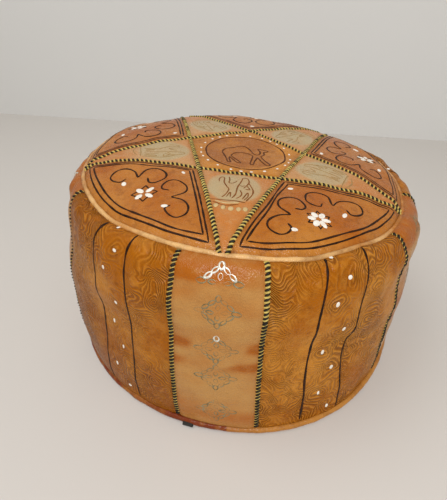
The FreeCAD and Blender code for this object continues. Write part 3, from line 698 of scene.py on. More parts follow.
def tooling(theta, s, k):
    """Phase of the pressed lines, in turns: scrolls round the dots, a burl pattern beside them."""
    rng = np.random.default_rng(100 + k)
    flat = np.stack([theta * WALL_R, s * WALL_LENGTH, np.zeros_like(s)], -1)
    across, down = (flat[..., i] + 0.0035 * ripples(flat, 0.012, 103 + 2 * k + i) for i in (0, 1))
    centres = rng.uniform(flat[..., :2].min((0, 1)), flat[..., :2].max((0, 1)), (BURLS, 2))
    burl = rings(across, down, centres, rng.uniform(0.6, 1.5, BURLS)) / LINE_PITCH
    angles, shares = dot_places(k)
    dots = np.stack([angles * WALL_R, shares * WALL_LENGTH], -1)
    heading = np.arctan2(down - down.mean(), across - across.mean())
    scroll = rings(across, down, dots, np.full(len(dots), 1.2)) / SCROLL_PITCH + heading / (2 * np.pi)
    low, high = (math.radians(a) for a in strip_of(k))
    return np.where((theta > low) & (theta < high), scroll, burl)


# %% Tooled wall panels
TOOLED_STEP, DARK_FROM = 0.0013, 0.176
# The front-left panel's lines are rubbed. It is also painted darker and more orange as shade on the side
# turned from the light, most towards its far-left edge and below the fold.
RUBBED_AND_SHADED_PANEL = 4
for k in range(STAR_POINTS):
    start = math.radians(k * SECTOR + PLAIN_HALF[k]) + GAP / WALL_R
    end = math.radians((k + 1) * SECTOR - PLAIN_HALF[(k + 1) % STAR_POINTS]) - GAP / WALL_R
    theta, s = wall_grid(start, end, TOOLED_STEP)
    points = cover_wall(theta, s)
    height = wall_section(s)[1]
    tan = 0.42 + 0.3 * ripples(points, 0.05, 80 + k) + 0.45 * fade(DARK_FROM - height, 0.004)
    # On the front-left panel the extra tan is part of its painted shade.
    tan += 0.35 * bell(height, 0.05) + (0.35 if k == RUBBED_AND_SHADED_PANEL else 0)
    depth = np.clip(0.6 + 0.5 * ripples(points, 0.035, 90 + k), 0.05, 1) * (0.6 if k == RUBBED_AND_SHADED_PANEL else 1)
    places = np.stack(dot_places(k), -1) * (WALL_R, WALL_LENGTH)
    near_dot = rings(theta * WALL_R, s * WALL_LENGTH, places, np.ones(len(places)))
    depth = np.maximum(depth, (0.5 if k == RUBBED_AND_SHADED_PANEL else 0.95) * bell(near_dot, 0.014))
    # Painted shadow: a dark band just under the rim, where the welt shades the wall. The seam lines are dirt.
    dirt = 0.3 * bell(wall_seam_distance(theta), 0.005) + 0.5 * bell(s, 0.012)
    # Painted shade: darker towards the far-left edge, which is turned from the light, and below the fold.
    if k == RUBBED_AND_SHADED_PANEL:
        dirt += 0.3 * np.clip((start + 0.4 - theta) / 0.25, 0, 1)
        dirt += 0.25 * np.clip((0.12 - height) / 0.07, 0, 1)
    leather_sheet(f"tooled_leather_{k + 1}", f"tooled_side_panel_{k + 1}", "leather_tooled", points,
                  tooled_leather, ((end - start) * WALL_R, WALL_LENGTH), tan=tan, dirt=dirt, depth=depth,
                  contour=tooling(theta, s, k))
    print(f"tooled panel {k + 1}: {(end - start) * WALL_R * 1000:.0f} mm wide, {theta.size} points")

# %% [markdown]
# ## Welts
# A welt is a cord in a strip of leather, sewn in between two panels. A ring of small circles round
# the rim's line gives it, with the leather's unevenness in the circle's radius.

# %% Rim and foot welts
WELT_SIDES, WELT_POINTS = 14, 640


def welt_ring(name, node, centres, radius, material, seed, **marks):
    around = np.arange(WELT_SIDES) / WELT_SIDES * 2 * np.pi
    along = np.roll(centres, -1, 0) - np.roll(centres, 1, 0)
    along /= np.linalg.norm(along, axis=1, keepdims=True)
    side = np.cross(along, (0, 0, 1))
    up = np.cross(side, along)
    ring = centres[:, None] + radius * (np.cos(around)[None, :, None] * side[:, None]
                                        + np.sin(around)[None, :, None] * up[:, None])
    swelling = 0.06 * ripples(ring, 0.012, seed) + 0.03 * ripples(ring, 0.004, seed + 1)
    ring = centres[:, None] + (ring - centres[:, None]) * (1 + np.clip(swelling, -0.1, 0.1))[..., None]
    piece = mesh_object(name, ring, grid_faces(len(centres), WELT_SIDES, ring=True, closed=True))
    mark(piece, **{key: np.repeat(values, WELT_SIDES) for key, values in marks.items()})
    piece.data.materials.append(material)
    dress(piece, "leather_welt", node)
    print(name, "has", len(piece.data.polygons), "faces")


turns = np.linspace(-np.pi, np.pi, WELT_POINTS, endpoint=False)
rim_line = cover(turns, np.ones_like(turns))
rim_line[:, 2] -= 0.0003 + 0.0022 * (1 - bell(turns, 1.1))
# Painted highlight: the welt is less tan, and so paler, at the front where it faces the lamp. The darker
# patches along it are painted shade in its creases.
rim_tan_and_highlight = 0.05 + 0.4 * ripples(rim_line, 0.04, 121) + 0.5 * (1 - bell(turns, 0.6))
welt_ring("rim_welt_leather", "top_welt", rim_line, RIM_WELT, rim_leather, 120, tan=rim_tan_and_highlight,
          dirt=0.08 + 0.3 * ripples(rim_line, 0.012, 122))
foot_r = FOOT_R + foot_spread(turns)
foot_line = np.stack([foot_r * np.sin(turns), -foot_r * np.cos(turns), np.full_like(turns, FOOT_Z)], -1)
red_side = np.where((np.degrees(turns) < 3.2) & (np.degrees(turns) > -170), 1.0, 0.15)
welt_ring("foot_welt_leather", "bottom_welt", foot_line, FOOT_WELT, foot_leather, 124,
          tan=red_side + 0.15 * ripples(foot_line, 0.03, 125))

# %% [markdown]
# ## The base and its zip
# The base is two half discs of split leather, each folded back along the zip. The fold is drawn as
# one line across, from the edge of the hem round to the outside of the base, and that line is laid
# out along the zip. The zip's metal stays as the CAD model has it, and gets an aged brass finish.

# %% Base halves
ZIP_TURN = -8
SIDES = (("right", ZIP_TURN), ("left", ZIP_TURN + 180))
SLOT_HALF, HEM_OUTER, BASE_R, BASE_LEATHER = 0.006, 0.0189, 0.2033, 0.0024
FOLD_R, FOLD_LEVEL, HEM_LEVEL, BASE_OUTSIDE = 0.0024, 0.0025, 0.0049, 0.0001
HEM_FLAT, HALF_DISC = 0.008, 1.62
BASE_LINES, BASE_STEPS, HEM_STEPS = 150, 55, 5
FOLD_X = SLOT_HALF + FOLD_R
bend = np.linspace(np.pi / 2, 3 * np.pi / 2, 9)
fold_x = np.r_[np.linspace(HEM_OUTER, FOLD_X, HEM_STEPS + 1)[:-1], FOLD_X + FOLD_R * np.cos(bend)]
fold_z = np.r_[np.full(HEM_STEPS, HEM_LEVEL), FOLD_LEVEL + FOLD_R * np.sin(bend)]
for side, turn in SIDES:
    out = np.linspace(0, 1, BASE_STEPS + 1)[None, 1:]
    along = np.linspace(-0.999, 0.999, BASE_LINES)[:, None] * math.sqrt(BASE_R ** 2 - FOLD_X ** 2)
    far = np.sqrt(BASE_R ** 2 - along ** 2)
    across = np.concatenate([np.minimum(np.broadcast_to(fold_x, (BASE_LINES, len(fold_x))), far),
                             fold_x[-1] + out * np.maximum(far - fold_x[-1], 0)], 1)
    level = np.concatenate([np.broadcast_to(fold_z, (BASE_LINES, len(fold_z))),
                            np.full((BASE_LINES, BASE_STEPS), BASE_OUTSIDE)], 1)
    x, y = turned(across, -np.broadcast_to(along, across.shape), turn)
    spread = 1 + foot_spread(np.arctan2(x, -y)) / BASE_R * (np.hypot(x, y) / BASE_R) ** 6
    points = np.stack([x * spread, y * spread, level], -1)
    points[..., 2] += np.clip(0.0006 * ripples(points, 0.04, 130), 0, 0.001) * (level < 0.001)
    leather_sheet(f"base_leather_{side}", f"base_half_{side}", "leather_base", points, base_leather,
                  (BASE_R + HEM_FLAT, 2 * BASE_R), HALF_DISC * BASE_R ** 2, thickness=BASE_LEATHER,
                  tan=0.5, dirt=0.2)
print("base halves laid either side of the zip, turned", ZIP_TURN, "degrees")

# %% [markdown]
# ## Trees of nodes
# Lacing, painted lines and dots repeat along paths, which is work for Geometry Nodes. Each tree
# starts with named inputs and works on a mesh of bare edges or points that carry the direction out of
# the leather (`up`). When a tree has run, its result becomes a plain mesh, so the export keeps it.

# %% Helpers for trees
def new_tree(name, **inputs):
    """A node tree with a geometry input and one named input for each size."""
    tree = bpy.data.node_groups.new(name, "GeometryNodeTree")
    tree.interface.new_socket("Geometry", in_out="INPUT", socket_type="NodeSocketGeometry")
    for label, value in inputs.items():
        kind = "NodeSocketInt" if isinstance(value, int) else "NodeSocketFloat"
        tree.interface.new_socket(label, in_out="INPUT", socket_type=kind).default_value = value
    tree.interface.new_socket("Material", in_out="INPUT", socket_type="NodeSocketMaterial")
    tree.interface.new_socket("Geometry", in_out="OUTPUT", socket_type="NodeSocketGeometry")
    return tree, add(tree, "NodeGroupInput").outputs


def end_tree(tree, start, made):
    """Make instances real, give them their material and close the tree."""
    real = add(tree, "GeometryNodeRealizeInstances", {0: made})
    smooth = add(tree, "GeometryNodeSetShadeSmooth", {0: real})
    finish = add(tree, "GeometryNodeSetMaterial", {0: smooth, "Material": start["Material"]})
    add(tree, "NodeGroupOutput", {0: finish})


def run_tree(piece, tree, **values):
    """Run a tree on a piece and keep its result as a plain mesh."""
    modifier = piece.modifiers.new(tree.name, "NODES")
    modifier.node_group = tree
    for item in tree.interface.items_tree:
        if item.in_out == "INPUT" and item.name in values:
            modifier[item.identifier] = values[item.name]
    bpy.context.view_layer.update()
    graph = bpy.context.evaluated_depsgraph_get()
    plain = bpy.data.meshes.new_from_object(piece.evaluated_get(graph))
    piece.modifiers.remove(modifier)
    piece.data = plain
    return piece


def paths_object(name, paths):
    """A mesh of edges: each path is its points, their up directions and a width factor."""
    points, ups, widths, edges = [], [], [], []
    for path, up, width in paths:
        first = len(points)
        points.extend(path.tolist())
        ups.extend(up.tolist())
        widths.extend(np.broadcast_to(width, len(path)).tolist())
        edges.extend((i, i + 1) for i in range(first, len(points) - 1))
    mesh = bpy.data.meshes.new(name)
    mesh.from_pydata(points, edges, [])
    store(mesh, "up", ups)
    store(mesh, "width", widths)
    return put(name, mesh)


# %% Directions out of the leather
def unit(vectors):
    return vectors / np.linalg.norm(vectors, axis=-1, keepdims=True)


def on_top(x, y):
    """Points on the top with the directions out of it."""
    x, y = np.asarray(x, float), np.asarray(y, float)
    near = 0.0008
    up = np.cross(cover_top(x + near, y) - cover_top(x - near, y),
                  cover_top(x, y + near) - cover_top(x, y - near))
    return cover_top(x, y), unit(up)


def on_wall(theta, s):
    theta, s = np.asarray(theta, float), np.asarray(s, float)
    near = 0.003
    low, high = np.clip(s - near, 0, 1), np.clip(s + near, 0, 1)
    up = np.cross(cover_wall(theta, high) - cover_wall(theta, low),
                  cover_wall(theta + near, s) - cover_wall(theta - near, s))
    return cover_wall(theta, s), unit(up)


# %% [markdown]
# ## Lacing
# The seams are laced over with two waxed threads. Each turn of thread shows as a small slanted arch
# over the seam, black and yellow by turns. The tree draws one arch and sets it at every pitch along
# a seam, with small seeded differences, since a hand pulls no two turns alike. Under the arches a dark
# strand fills the seam.

# %% The lacing tree
def named(tree, label, kind="FLOAT_VECTOR"):
    return add(tree, "GeometryNodeInputNamedAttribute", {"Name": label}, data_type=kind)


def facing(tree, along):
    """A turn that stands Z out of the leather and lays X along a direction."""
    axes = {"Primary Axis": named(tree, "up"), "Secondary Axis": along}
    return add(tree, "FunctionNodeAxesToRotation", axes, primary_axis="Z", secondary_axis="X")


lace_tree, start = new_tree("lacing", Pitch=0.0047, Parity=0, Width=0.0036, Height=0.0013, Thread=0.00098,
                            Slant=0.5, Seed=1)
seam = add(lace_tree, "GeometryNodeMeshToCurve", {0: start["Geometry"]})
half_pitch = calc(lace_tree, "MULTIPLY", start["Pitch"], 0.5)
spaced = add(lace_tree, "GeometryNodeResampleCurve", {"Curve": seam, "Length": half_pitch}, mode="LENGTH")
number = add(lace_tree, "GeometryNodeSplineParameter").outputs["Index"]
odd = calc(lace_tree, "MODULO", calc(lace_tree, "ADD", number, start["Parity"]), 2.0)
half_width = calc(lace_tree, "MULTIPLY", start["Width"], 0.5)
flatness = calc(lace_tree, "DIVIDE", start["Height"], half_width)
arch = add(lace_tree, "GeometryNodeCurveArc", {"Resolution": 7, "Radius": half_width, "Sweep Angle": math.pi})
flat_scale = add(lace_tree, "ShaderNodeCombineXYZ", {0: 1.0, 1: flatness, 2: 1.0})
standing = add(lace_tree, "GeometryNodeTransform", {"Geometry": arch, "Scale": flat_scale,
                                                    "Rotation": (math.pi / 2, 0, math.pi / 2)})
slant = add(lace_tree, "ShaderNodeCombineXYZ", {2: start["Slant"]})
slanted = add(lace_tree, "GeometryNodeTransform", {"Geometry": standing, "Rotation": slant})
thread = add(lace_tree, "GeometryNodeCurvePrimitiveCircle", {"Resolution": 6, "Radius": start["Thread"]})
stitch = add(lace_tree, "GeometryNodeCurveToMesh", {"Curve": slanted, "Profile Curve": thread,
                                                    "Fill Caps": True})
uneven = add(lace_tree, "FunctionNodeRandomValue", {0: (0.92, 0.9, 0.85), 1: (1.12, 1.08, 1.2),
                                                    "Seed": start["Seed"]}, data_type="FLOAT_VECTOR")
laced = add(lace_tree, "GeometryNodeInstanceOnPoints",
            {"Points": spaced, "Selection": odd, "Instance": stitch, "Scale": uneven,
             "Rotation": facing(lace_tree, add(lace_tree, "GeometryNodeInputTangent"))})
end_tree(lace_tree, start, laced)
print("lacing tree:", len(lace_tree.nodes), "nodes")

# %% [markdown]
# ## Brush lines
# A painted line is a flat strip of ink along a path, about 2 mm wide with an uneven edge. The tree
# sweeps a flat oval along the path and turns it to lie in the leather. Foil and the strand under the
# lacing are laid with the same tree.

# %% The brush tree
brush_tree, start = new_tree("brush_line", Width=0.0015, Thickness=0.0003)
path = add(brush_tree, "GeometryNodeMeshToCurve", {0: start["Geometry"]})
lying = add(brush_tree, "GeometryNodeSetCurveNormal", {"Curve": path, "Normal": named(brush_tree, "up")},
            mode="FREE")
oval = add(brush_tree, "GeometryNodeCurvePrimitiveCircle", {"Resolution": 8, "Radius": 0.5})
oval_scale = add(brush_tree, "ShaderNodeCombineXYZ", {0: start["Thickness"], 1: start["Width"], 2: 1.0})
flat_oval = add(brush_tree, "GeometryNodeTransform", {"Geometry": oval, "Scale": oval_scale})
stroke = add(brush_tree, "GeometryNodeCurveToMesh", {"Curve": lying, "Profile Curve": flat_oval,
                                                     "Scale": named(brush_tree, "width", "FLOAT"),
                                                     "Fill Caps": True})
end_tree(brush_tree, start, stroke)


def drawn(name, paths, slot, finish, *nodes, tree=brush_tree, **sizes):
    piece = run_tree(paths_object(name, paths), tree, Material=finish, **sizes)
    dress(piece, slot, *nodes)
    print(name, "has", len(piece.data.polygons), "faces")


print("brush tree:", len(brush_tree.nodes), "nodes")

# %% Thread and ink materials
def plain_finish(name, tone, other, size, roughness, metallic=0.0, bump_height=0.0004, shine=0.5):
    """A finish with two tones in patches of that size, and a bump of the same patches."""
    material, tree, shader = new_material(name)
    patches = noise(tree, size, Detail=4)
    tones = mix(tree, span(tree, patches, 0.35, 0.65), tone, other)
    bump = add(tree, "ShaderNodeBump", {"Height": patches, "Distance": bump_height, "Strength": 0.4})
    wire(tree, shader, {"Base Color": tones, "Normal": bump, "Roughness": roughness, "Metallic": metallic,
                        "Specular IOR Level": shine})
    return material


# Waxed thread has a soft, low sheen and is uneven in colour. Ink is nearly matt and brown where it is thin.
black_thread = plain_finish("waxed_thread_black", "#17130f", "#2e261d", 0.0008, 0.5, shine=0.2)
yellow_thread = plain_finish("waxed_thread_yellow", "#cfb865", "#b09548", 0.0015, 0.55, shine=0.2)
seam_strand = plain_finish("seam_strand_dark", "#2a1c0c", "#54401a", 0.003, 0.7)
ink = plain_finish("brushed_ink", "#1d0f08", "#3a1d0c", 0.006, 0.5, shine=0.12)

# %% Laced seams
LACE_END = 0.0003
RUN = math.sqrt(TOP_EDGE ** 2 - STAR_LINE ** 2) - LACE_END
CORNER = STAR_LINE * math.tan(HALF_SECTOR)
pentagon_seams, point_seams = [], []
for k in range(STAR_POINTS):
    for first, last, seams in ((-CORNER, CORNER, pentagon_seams), (-RUN, -CORNER, point_seams),
                               (CORNER, RUN, point_seams)):
        run = np.linspace(first, last, 60)
        seams.append(on_top(*turned(run, np.full_like(run, STAR_LINE), k * SECTOR)) + (1.0,))
side_seams = []
for angle in SEAM_ANGLES:
    s = np.linspace(0.006, 0.985, 120)
    side_seams.append(on_wall(np.full_like(s, angle), s) + (1.0,))
top_seams = pentagon_seams + point_seams
SPLIT = 33
short_seams = [(path[:SPLIT + 1], up[:SPLIT + 1], width) for path, up, width in side_seams]
lower_seams = [(path[SPLIT:], up[SPLIT:], width) for path, up, width in side_seams]
BOLD_SEAMS = (1, 4, 7)
bold_seams = [short_seams[i] for i in BOLD_SEAMS]
fine_seams = lower_seams + [seam for i, seam in enumerate(short_seams) if i not in BOLD_SEAMS]
top_nodes = [f"{kind}_lacing_{k + 1}" for kind in ("pentagon", "point") for k in range(STAR_POINTS)]
side_nodes = [f"side_lacing_{k + 1}" for k in range(2 * STAR_POINTS)]
SIDE_PITCH = 0.0042
LACINGS = (
    ("top_lacing_black", top_seams, black_thread, top_nodes, {}),
    ("top_lacing_yellow", top_seams, yellow_thread, (), {"Parity": 1, "Seed": 2, "Height": 0.0012}),
    ("side_lacing_black", short_seams + lower_seams, black_thread, side_nodes,
     {"Pitch": SIDE_PITCH, "Width": 0.0042, "Thread": 0.00095, "Seed": 3}),
    ("side_lacing_yellow", bold_seams, yellow_thread, (),
     {"Pitch": SIDE_PITCH, "Width": 0.004, "Thread": 0.001, "Parity": 1, "Seed": 4, "Slant": 0.3}),
    ("side_lacing_edges", fine_seams, yellow_thread, (),
     {"Pitch": SIDE_PITCH, "Width": 0.0052, "Height": 0.0009, "Thread": 0.00042, "Parity": 1, "Seed": 5}),
)
for name, seams, thread, nodes, sizes in LACINGS:
    drawn(name, seams, "lacing_cord", thread, *nodes, tree=lace_tree, **sizes)
drawn("seam_strand", top_seams + side_seams, "lacing_cord", seam_strand, Width=0.0026, Thickness=0.0016)

# %% [markdown]
# ## Ornaments on the top
# The ornaments are drawn by hand with a brush: a double border and scrolls on each flower panel, a
# ring and a camel on the middle, and a stamped camel on each star point. Each is a smooth line through
# a few corners, in millimetres across and out from the middle of the top, so that one drawing serves
# every panel.

# %% Brush strokes on the top
MM = 0.001
INK_LIFT = 0.00006


def smooth_path(corners, steps=10):
    """A smooth line through corners, with steps points for each stretch."""
    p = np.array(corners, float)
    p = np.vstack([2 * p[:1] - p[1:2], p, 2 * p[-1:] - p[-2:-1]])
    weights = np.array(cubic(np.linspace(0, 1, steps, endpoint=False))).T
    return np.vstack([weights @ p[i:i + 4] for i in range(len(p) - 3)] + [p[-2:-1]])


def brushed(points, ups, seed, width=1.0):
    """A stroke with an uneven edge and drawn-out ends."""
    run = np.r_[0, np.cumsum(np.linalg.norm(np.diff(points, axis=0), axis=1))]
    ends = np.clip(np.minimum(run, run[-1] - run) / 0.0025 + 0.35, 0, 1)
    return points + ups * INK_LIFT, ups, width * ends * (1 + 0.18 * ripples(points, 0.006, seed))


def top_stroke(corners, turn, seed, width=1.0, shift=0.0, wobble=0.5):
    """A stroke from a drawing in millimetres on the panel at that turn."""
    path = np.array(corners) * MM
    rng = np.random.default_rng(seed)
    sway = wobble * MM * np.sin(np.arange(len(path)) * rng.uniform(0.1, 0.3) + rng.uniform(0, 6))
    points, ups = on_top(*turned(path[:, 0] + shift + sway, path[:, 1] + sway, turn))
    return brushed(points, ups, seed, width)


# %% Lines of the flower panels
SCROLL_INNER = ((16.6, 121.5), (10.5, 124.5), (4.4, 120), (3.2, 111), (9.5, 103.5), (21, 104), (29, 112.8),
                (25.2, 126.7))
SCROLL_OUTER = ((25.2, 126.7), (36, 123), (47.5, 126), (53.3, 133.5), (50, 142.5), (42, 145), (34, 142),
                (34, 135))
# Distance from the star seams, and radius along the rim
BORDER_LINES = ((0.0072, 0.1728), (0.0108, 0.1682))
STAR_VALLEY, STAR_TIP = 7.0, 12.5
PETALS = (6, 5, 4, 5, 4)
FLOWER_SHIFT = (-0.0075, -0.004, -0.003, -0.005, 0.0012)
FLOWER_OUT = (146.0, 152.0, 146.0, 152.0, 144.0)
SCROLL_OUT = 5.0


def mirror(corners):
    return [(-a, b) for a, b in corners]


def border(offset, rim_r):
    """The outline of a flower panel drawn a distance inside it, as its three sides."""
    d = STAR_LINE + offset
    corner = math.acos(d / rim_r) - HALF_SECTOR
    apex = np.array((0, d / math.cos(HALF_SECTOR)))
    ends = [np.array((side * rim_r * math.sin(corner), rim_r * math.cos(corner))) for side in (-1, 1)]
    share = np.linspace(0, 1, 40)[:, None]
    sweep = np.linspace(-corner, corner, 70)
    return ((apex + (ends[0] - apex) * share) * 1000, (apex + (ends[1] - apex) * share) * 1000,
            np.stack([rim_r * np.sin(sweep), rim_r * np.cos(sweep)], -1) * 1000)


SCROLLS = (SCROLL_INNER, SCROLL_OUTER, mirror(SCROLL_INNER), mirror(SCROLL_OUTER))
strokes = []
for k in range(STAR_POINTS):
    turn = (k + 0.5) * SECTOR
    for number, (offset, rim_r) in enumerate(BORDER_LINES):
        for side, line in enumerate(border(offset, rim_r)):
            strokes.append(top_stroke(line, turn, 200 + 10 * k + 3 * number + side, 0.95))
    for number, corners in enumerate(SCROLLS):
        scroll = smooth_path(corners) + (0, SCROLL_OUT)
        strokes.append(top_stroke(scroll, turn, 260 + 10 * k + number, 1.0, FLOWER_SHIFT[k] / 2))
    star = []
    for tip in range(2 * PETALS[k] + 1):
        angle, reach = tip * math.pi / PETALS[k], STAR_TIP if tip % 2 else STAR_VALLEY
        star.append((reach * math.sin(angle), FLOWER_OUT[k] + reach * math.cos(angle)))
    share = np.linspace(0, len(star) - 1, 12 * len(star))
    star = np.stack([np.interp(share, np.arange(len(star)), column) for column in np.array(star).T], -1)
    strokes.append(top_stroke(star, turn, 330 + k, 0.75, FLOWER_SHIFT[k], wobble=0.2))
drawn("brushed_flower_lines", strokes, "leather_star", ink, Width=0.0019)

# %% The medallion
RING_CENTRE, RING_R = (1.3, 1.8), 45.5
CAMEL = (
    ((-25, 8), (-24, 1), (-20.5, -5), (-14, -9), (-9, -14.5), (-3.5, -16.5), (2, -13), (6, -7.5), (10, 0.5),
     (14.5, 4), (17.5, 0), (17, -8), (14.5, -13.5), (19, -15), (26, -12.5), (25.5, -9), (21.5, -6.5),
     (22.5, 1), (19, 8)),
    ((19, 8), (24, 18), (30.5, 28.5), (27, 31), (20, 20), (15.5, 11)),
    ((15.5, 11), (13.5, 22), (12.5, 32.5), (9, 31.5), (10, 18), (10, 7)),
    ((10, 7), (4, 3), (-2, 2), (-8, 4.5), (-12.5, 9)),
    ((-12.5, 9), (-13.5, 16), (-7, 24), (-1.5, 32), (-5.2, 32.5), (-11, 25), (-15, 18.5)),
    ((-15, 18.5), (-14.5, 26), (-12.5, 33), (-15.5, 33.5), (-18, 25), (-21, 17), (-25, 8)),
)
angles = np.linspace(0, 2 * np.pi, 200)
ring = RING_CENTRE + RING_R * np.stack([np.sin(angles), np.cos(angles)], -1)
drawing = [top_stroke(ring, 0, 340, 1.1, wobble=0.4)]
drawing += [top_stroke(smooth_path(line), 0, 341 + n, 0.95, wobble=0.2) for n, line in enumerate(CAMEL)]
medallion_ink = plain_finish("brushed_ink_brown", "#43200c", "#5c2f12", 0.006, 0.5, shine=0.12)
drawn("medallion_lines", drawing, "leather_star", medallion_ink, Width=0.0017)

# %% Stamps of the star points
STAMP = [smooth_path(line) for line in (
    ((-17, 85), (-18, 79), (-16, 74), (-13, 75), (-12, 85), (-9, 92), (-6, 98), (-8, 108), (-10.5, 113)),
    ((-9, 70), (-7.5, 78), (-7, 85), (-3.5, 83.5), (0.5, 78)), ((-6.5, 112), (-4, 103), (-3, 111.5)),
    ((5, 70), (4, 80), (2, 92), (1.5, 105), (-1.5, 113)),
    ((5, 70), (9.5, 70.5), (12, 78.5), (10, 87), (8, 92)),
    ((4, 87), (6, 88), (9, 85.5)), ((12, 79.5), (17, 93.5), (16.5, 105), (12.5, 116)),
    ((10.5, 86), (14, 93), (9.5, 93)), ((5, 97), (7, 103), (6, 109), (3, 113.5)),
    ((8.5, 113), (12.5, 100.5), (13.5, 107), (10, 114.5)), ((-21, 118), (-9, 117.5), (2, 117), (12, 118)),
    ((-17.5, 122), (-6.5, 125.5), (6.5, 122)))]
TEETH_BEND = 0.013
TEETH = [smooth_path([(a, end - TEETH_BEND * a ** 2) for end in (127, 133)], steps=8)
         for a in (-14, -7, 0, 7, 13)]
front_stamp = [top_stroke(line, 0, 600 + n, 1.0, wobble=0.2) for n, line in enumerate(STAMP)]
front_teeth = [top_stroke(line, 0, 620 + n, 3.4, wobble=0.0) for n, line in enumerate(TEETH)]
front_teeth.append(top_stroke(smooth_path(((-16, 120), (-5, 121.5), (7, 119.8))), 0, 630, 1.6))
faint_stamps = [top_stroke(line, k * SECTOR, 640 + n, 0.9, wobble=0.3)
                for k in range(1, STAR_POINTS) for n, line in enumerate(STAMP)]
stamp_ink = plain_finish("stamp_ink_brown", "#8a5220", "#6f3f14", 0.006, 0.5, shine=0.12)
faint_ink = plain_finish("stamp_ink_faint", "#957345", "#a58350", 0.004, 0.5, shine=0.12)
# Pale wax fills the pressed teeth, and shines a little more than the ink.
pale_wax = plain_finish("stamp_wax_pale", "#c9ac78", "#b89a64", 0.004, 0.45)
for name, lines, finish in (("front_stamp", front_stamp, stamp_ink),
                            ("faint_stamps", faint_stamps, faint_ink),
                            ("stamp_teeth", front_teeth, pale_wax)):
    drawn(name, lines, "leather_cream", finish, Width=0.0013, Thickness=0.0002)

# %% [markdown]
# ## White enamel dabs
# Petals and dots are thick dabs of white paint. The tree sets a flat dome on every point, turned out
# of the leather and along the dab's own direction, with seeded differences in size.

# %% The dab tree
dab_tree, start = new_tree("paint_dab", Uneven=0.14, Seed=1)
dome = add(dab_tree, "GeometryNodeMeshUVSphere", {"Segments": 10, "Rings": 6, "Radius": 1.0})
limits = []
for operation in ("SUBTRACT", "ADD"):
    factor = calc(dab_tree, operation, 1.0, start["Uneven"])
    limits.append(add(dab_tree, "ShaderNodeCombineXYZ", {0: factor, 1: factor, 2: 1.0}))
uneven = add(dab_tree, "FunctionNodeRandomValue", {0: limits[0], 1: limits[1], "Seed": start["Seed"]},
             data_type="FLOAT_VECTOR")
scale = add(dab_tree, "ShaderNodeVectorMath", {0: named(dab_tree, "size"), 1: uneven}, operation="MULTIPLY")
dabs = add(dab_tree, "GeometryNodeInstanceOnPoints",
           {"Points": start["Geometry"], "Instance": dome, "Scale": scale,
            "Rotation": facing(dab_tree, named(dab_tree, "along"))})
end_tree(dab_tree, start, dabs)


def dabs_object(name, marks):
    """A mesh of points: each mark is a place, its up and along directions and its half sizes."""
    mesh = bpy.data.meshes.new(name)
    mesh.from_pydata([tuple(m[0]) for m in marks], [], [])
    for number, label in enumerate(("up", "along", "size"), start=1):
        store(mesh, label, [m[number] for m in marks])
    return put(name, mesh)


DAB_THICK = 0.35


def around(centre, reach, heading):
    """A place at that reach from a centre, with the heading in degrees from the way out."""
    return (centre[0] + reach * math.sin(math.radians(heading)),
            centre[1] + reach * math.cos(math.radians(heading)))


def top_dab(across, out, turn, length, width, heading):
    """A dab on the top, in millimetres, with its heading in degrees from the way out."""
    ends = np.array([(across, out), around((across, out), 0.01, heading)]) * MM
    points, ups = on_top(*turned(ends[:, 0], ends[:, 1], turn))
    return points[0], ups[0], unit(points[1] - points[0]), (length / 2 * MM, width / 2 * MM, DAB_THICK * MM)


# %% Petals and dots on the top
PETAL_OUT, RING_DOTS, RING_DOTS_R = 6.6, 24, 51.3
PETAL, LEAF, BUD, RING_DOT = (9.2, 6.0), (8.0, 4.6), (6.0, 4.2), (3.4, 2.6)
marks = []
for k in range(STAR_POINTS):
    turn, shift = (k + 0.5) * SECTOR, FLOWER_SHIFT[k] * 1000
    for petal in range(PETALS[k]):
        heading = petal * 360 / PETALS[k] + 4 * math.sin(3 * petal + k)
        marks.append(top_dab(*around((shift, FLOWER_OUT[k]), PETAL_OUT, heading), turn, *PETAL, heading))
    marks += [top_dab(shift / 3, 94, turn, *BUD, 70),
              top_dab(shift - 29.5, FLOWER_OUT[k] + 2.5, turn, *LEAF, 60),
              top_dab(shift + 30.5, FLOWER_OUT[k] + 0.8, turn, *LEAF, -60)]
for dot in range(RING_DOTS):
    angle = dot * 360 / RING_DOTS + 3 * math.sin(5 * dot)
    marks.append(top_dab(*around(RING_CENTRE, RING_DOTS_R, angle), 0, *RING_DOT, angle + 90))
# Enamel paint stands up in thick, glossy dabs that have yellowed a little.
white_paint = plain_finish("enamel_paint_white", "#f1ece2", "#ddd3c4", 0.003, 0.35)
top_dabs = run_tree(dabs_object("white_top_dabs", marks), dab_tree, Material=white_paint)
dress(top_dabs, "leather_star")
print("white dabs on the top:", len(marks))

# %% [markdown]
# ## Ornaments on the wall
# Each tooled panel has two dark lines drawn from rim to foot with a zigzag of white dots between
# them. Each plain panel has a column of foil ornaments, a diamond of leaf-shaped loops, much rubbed off.

# %% Lines and dots of the tooled panels
WALL_DOT = (0.0024, 0.0018, 0.0004)
wall_strokes, wall_dots = [], []
for k in range(STAR_POINTS):
    for number, angle in enumerate(strip_of(k)):
        s = np.linspace(0.012, 0.985, 170)
        theta = np.radians(angle) + 0.006 * np.sin(5 * s + k + number) + 0.003 * np.sin(17 * s + 2 * k)
        theta += (0.055 if k < 2 else 0.01) * np.exp(-s / 0.1)
        points, ups = on_wall(theta, s)
        wall_strokes.append(brushed(points, ups, 400 + 2 * k + number, 1.0 if number == 0 else 0.85))
    for angle, share in zip(*dot_places(k)):
        points, ups = on_wall(np.array([angle, angle]), np.array([share, share + 0.002]))
        wall_dots.append((points[0], ups[0], unit(points[1] - points[0]), WALL_DOT))
drawn("brushed_wall_lines", wall_strokes, "leather_tooled", ink, Width=0.0023)
dots = run_tree(dabs_object("white_wall_dots", wall_dots), dab_tree, Uneven=0.3, Seed=7, Material=white_paint)
dress(dots, "leather_tooled")
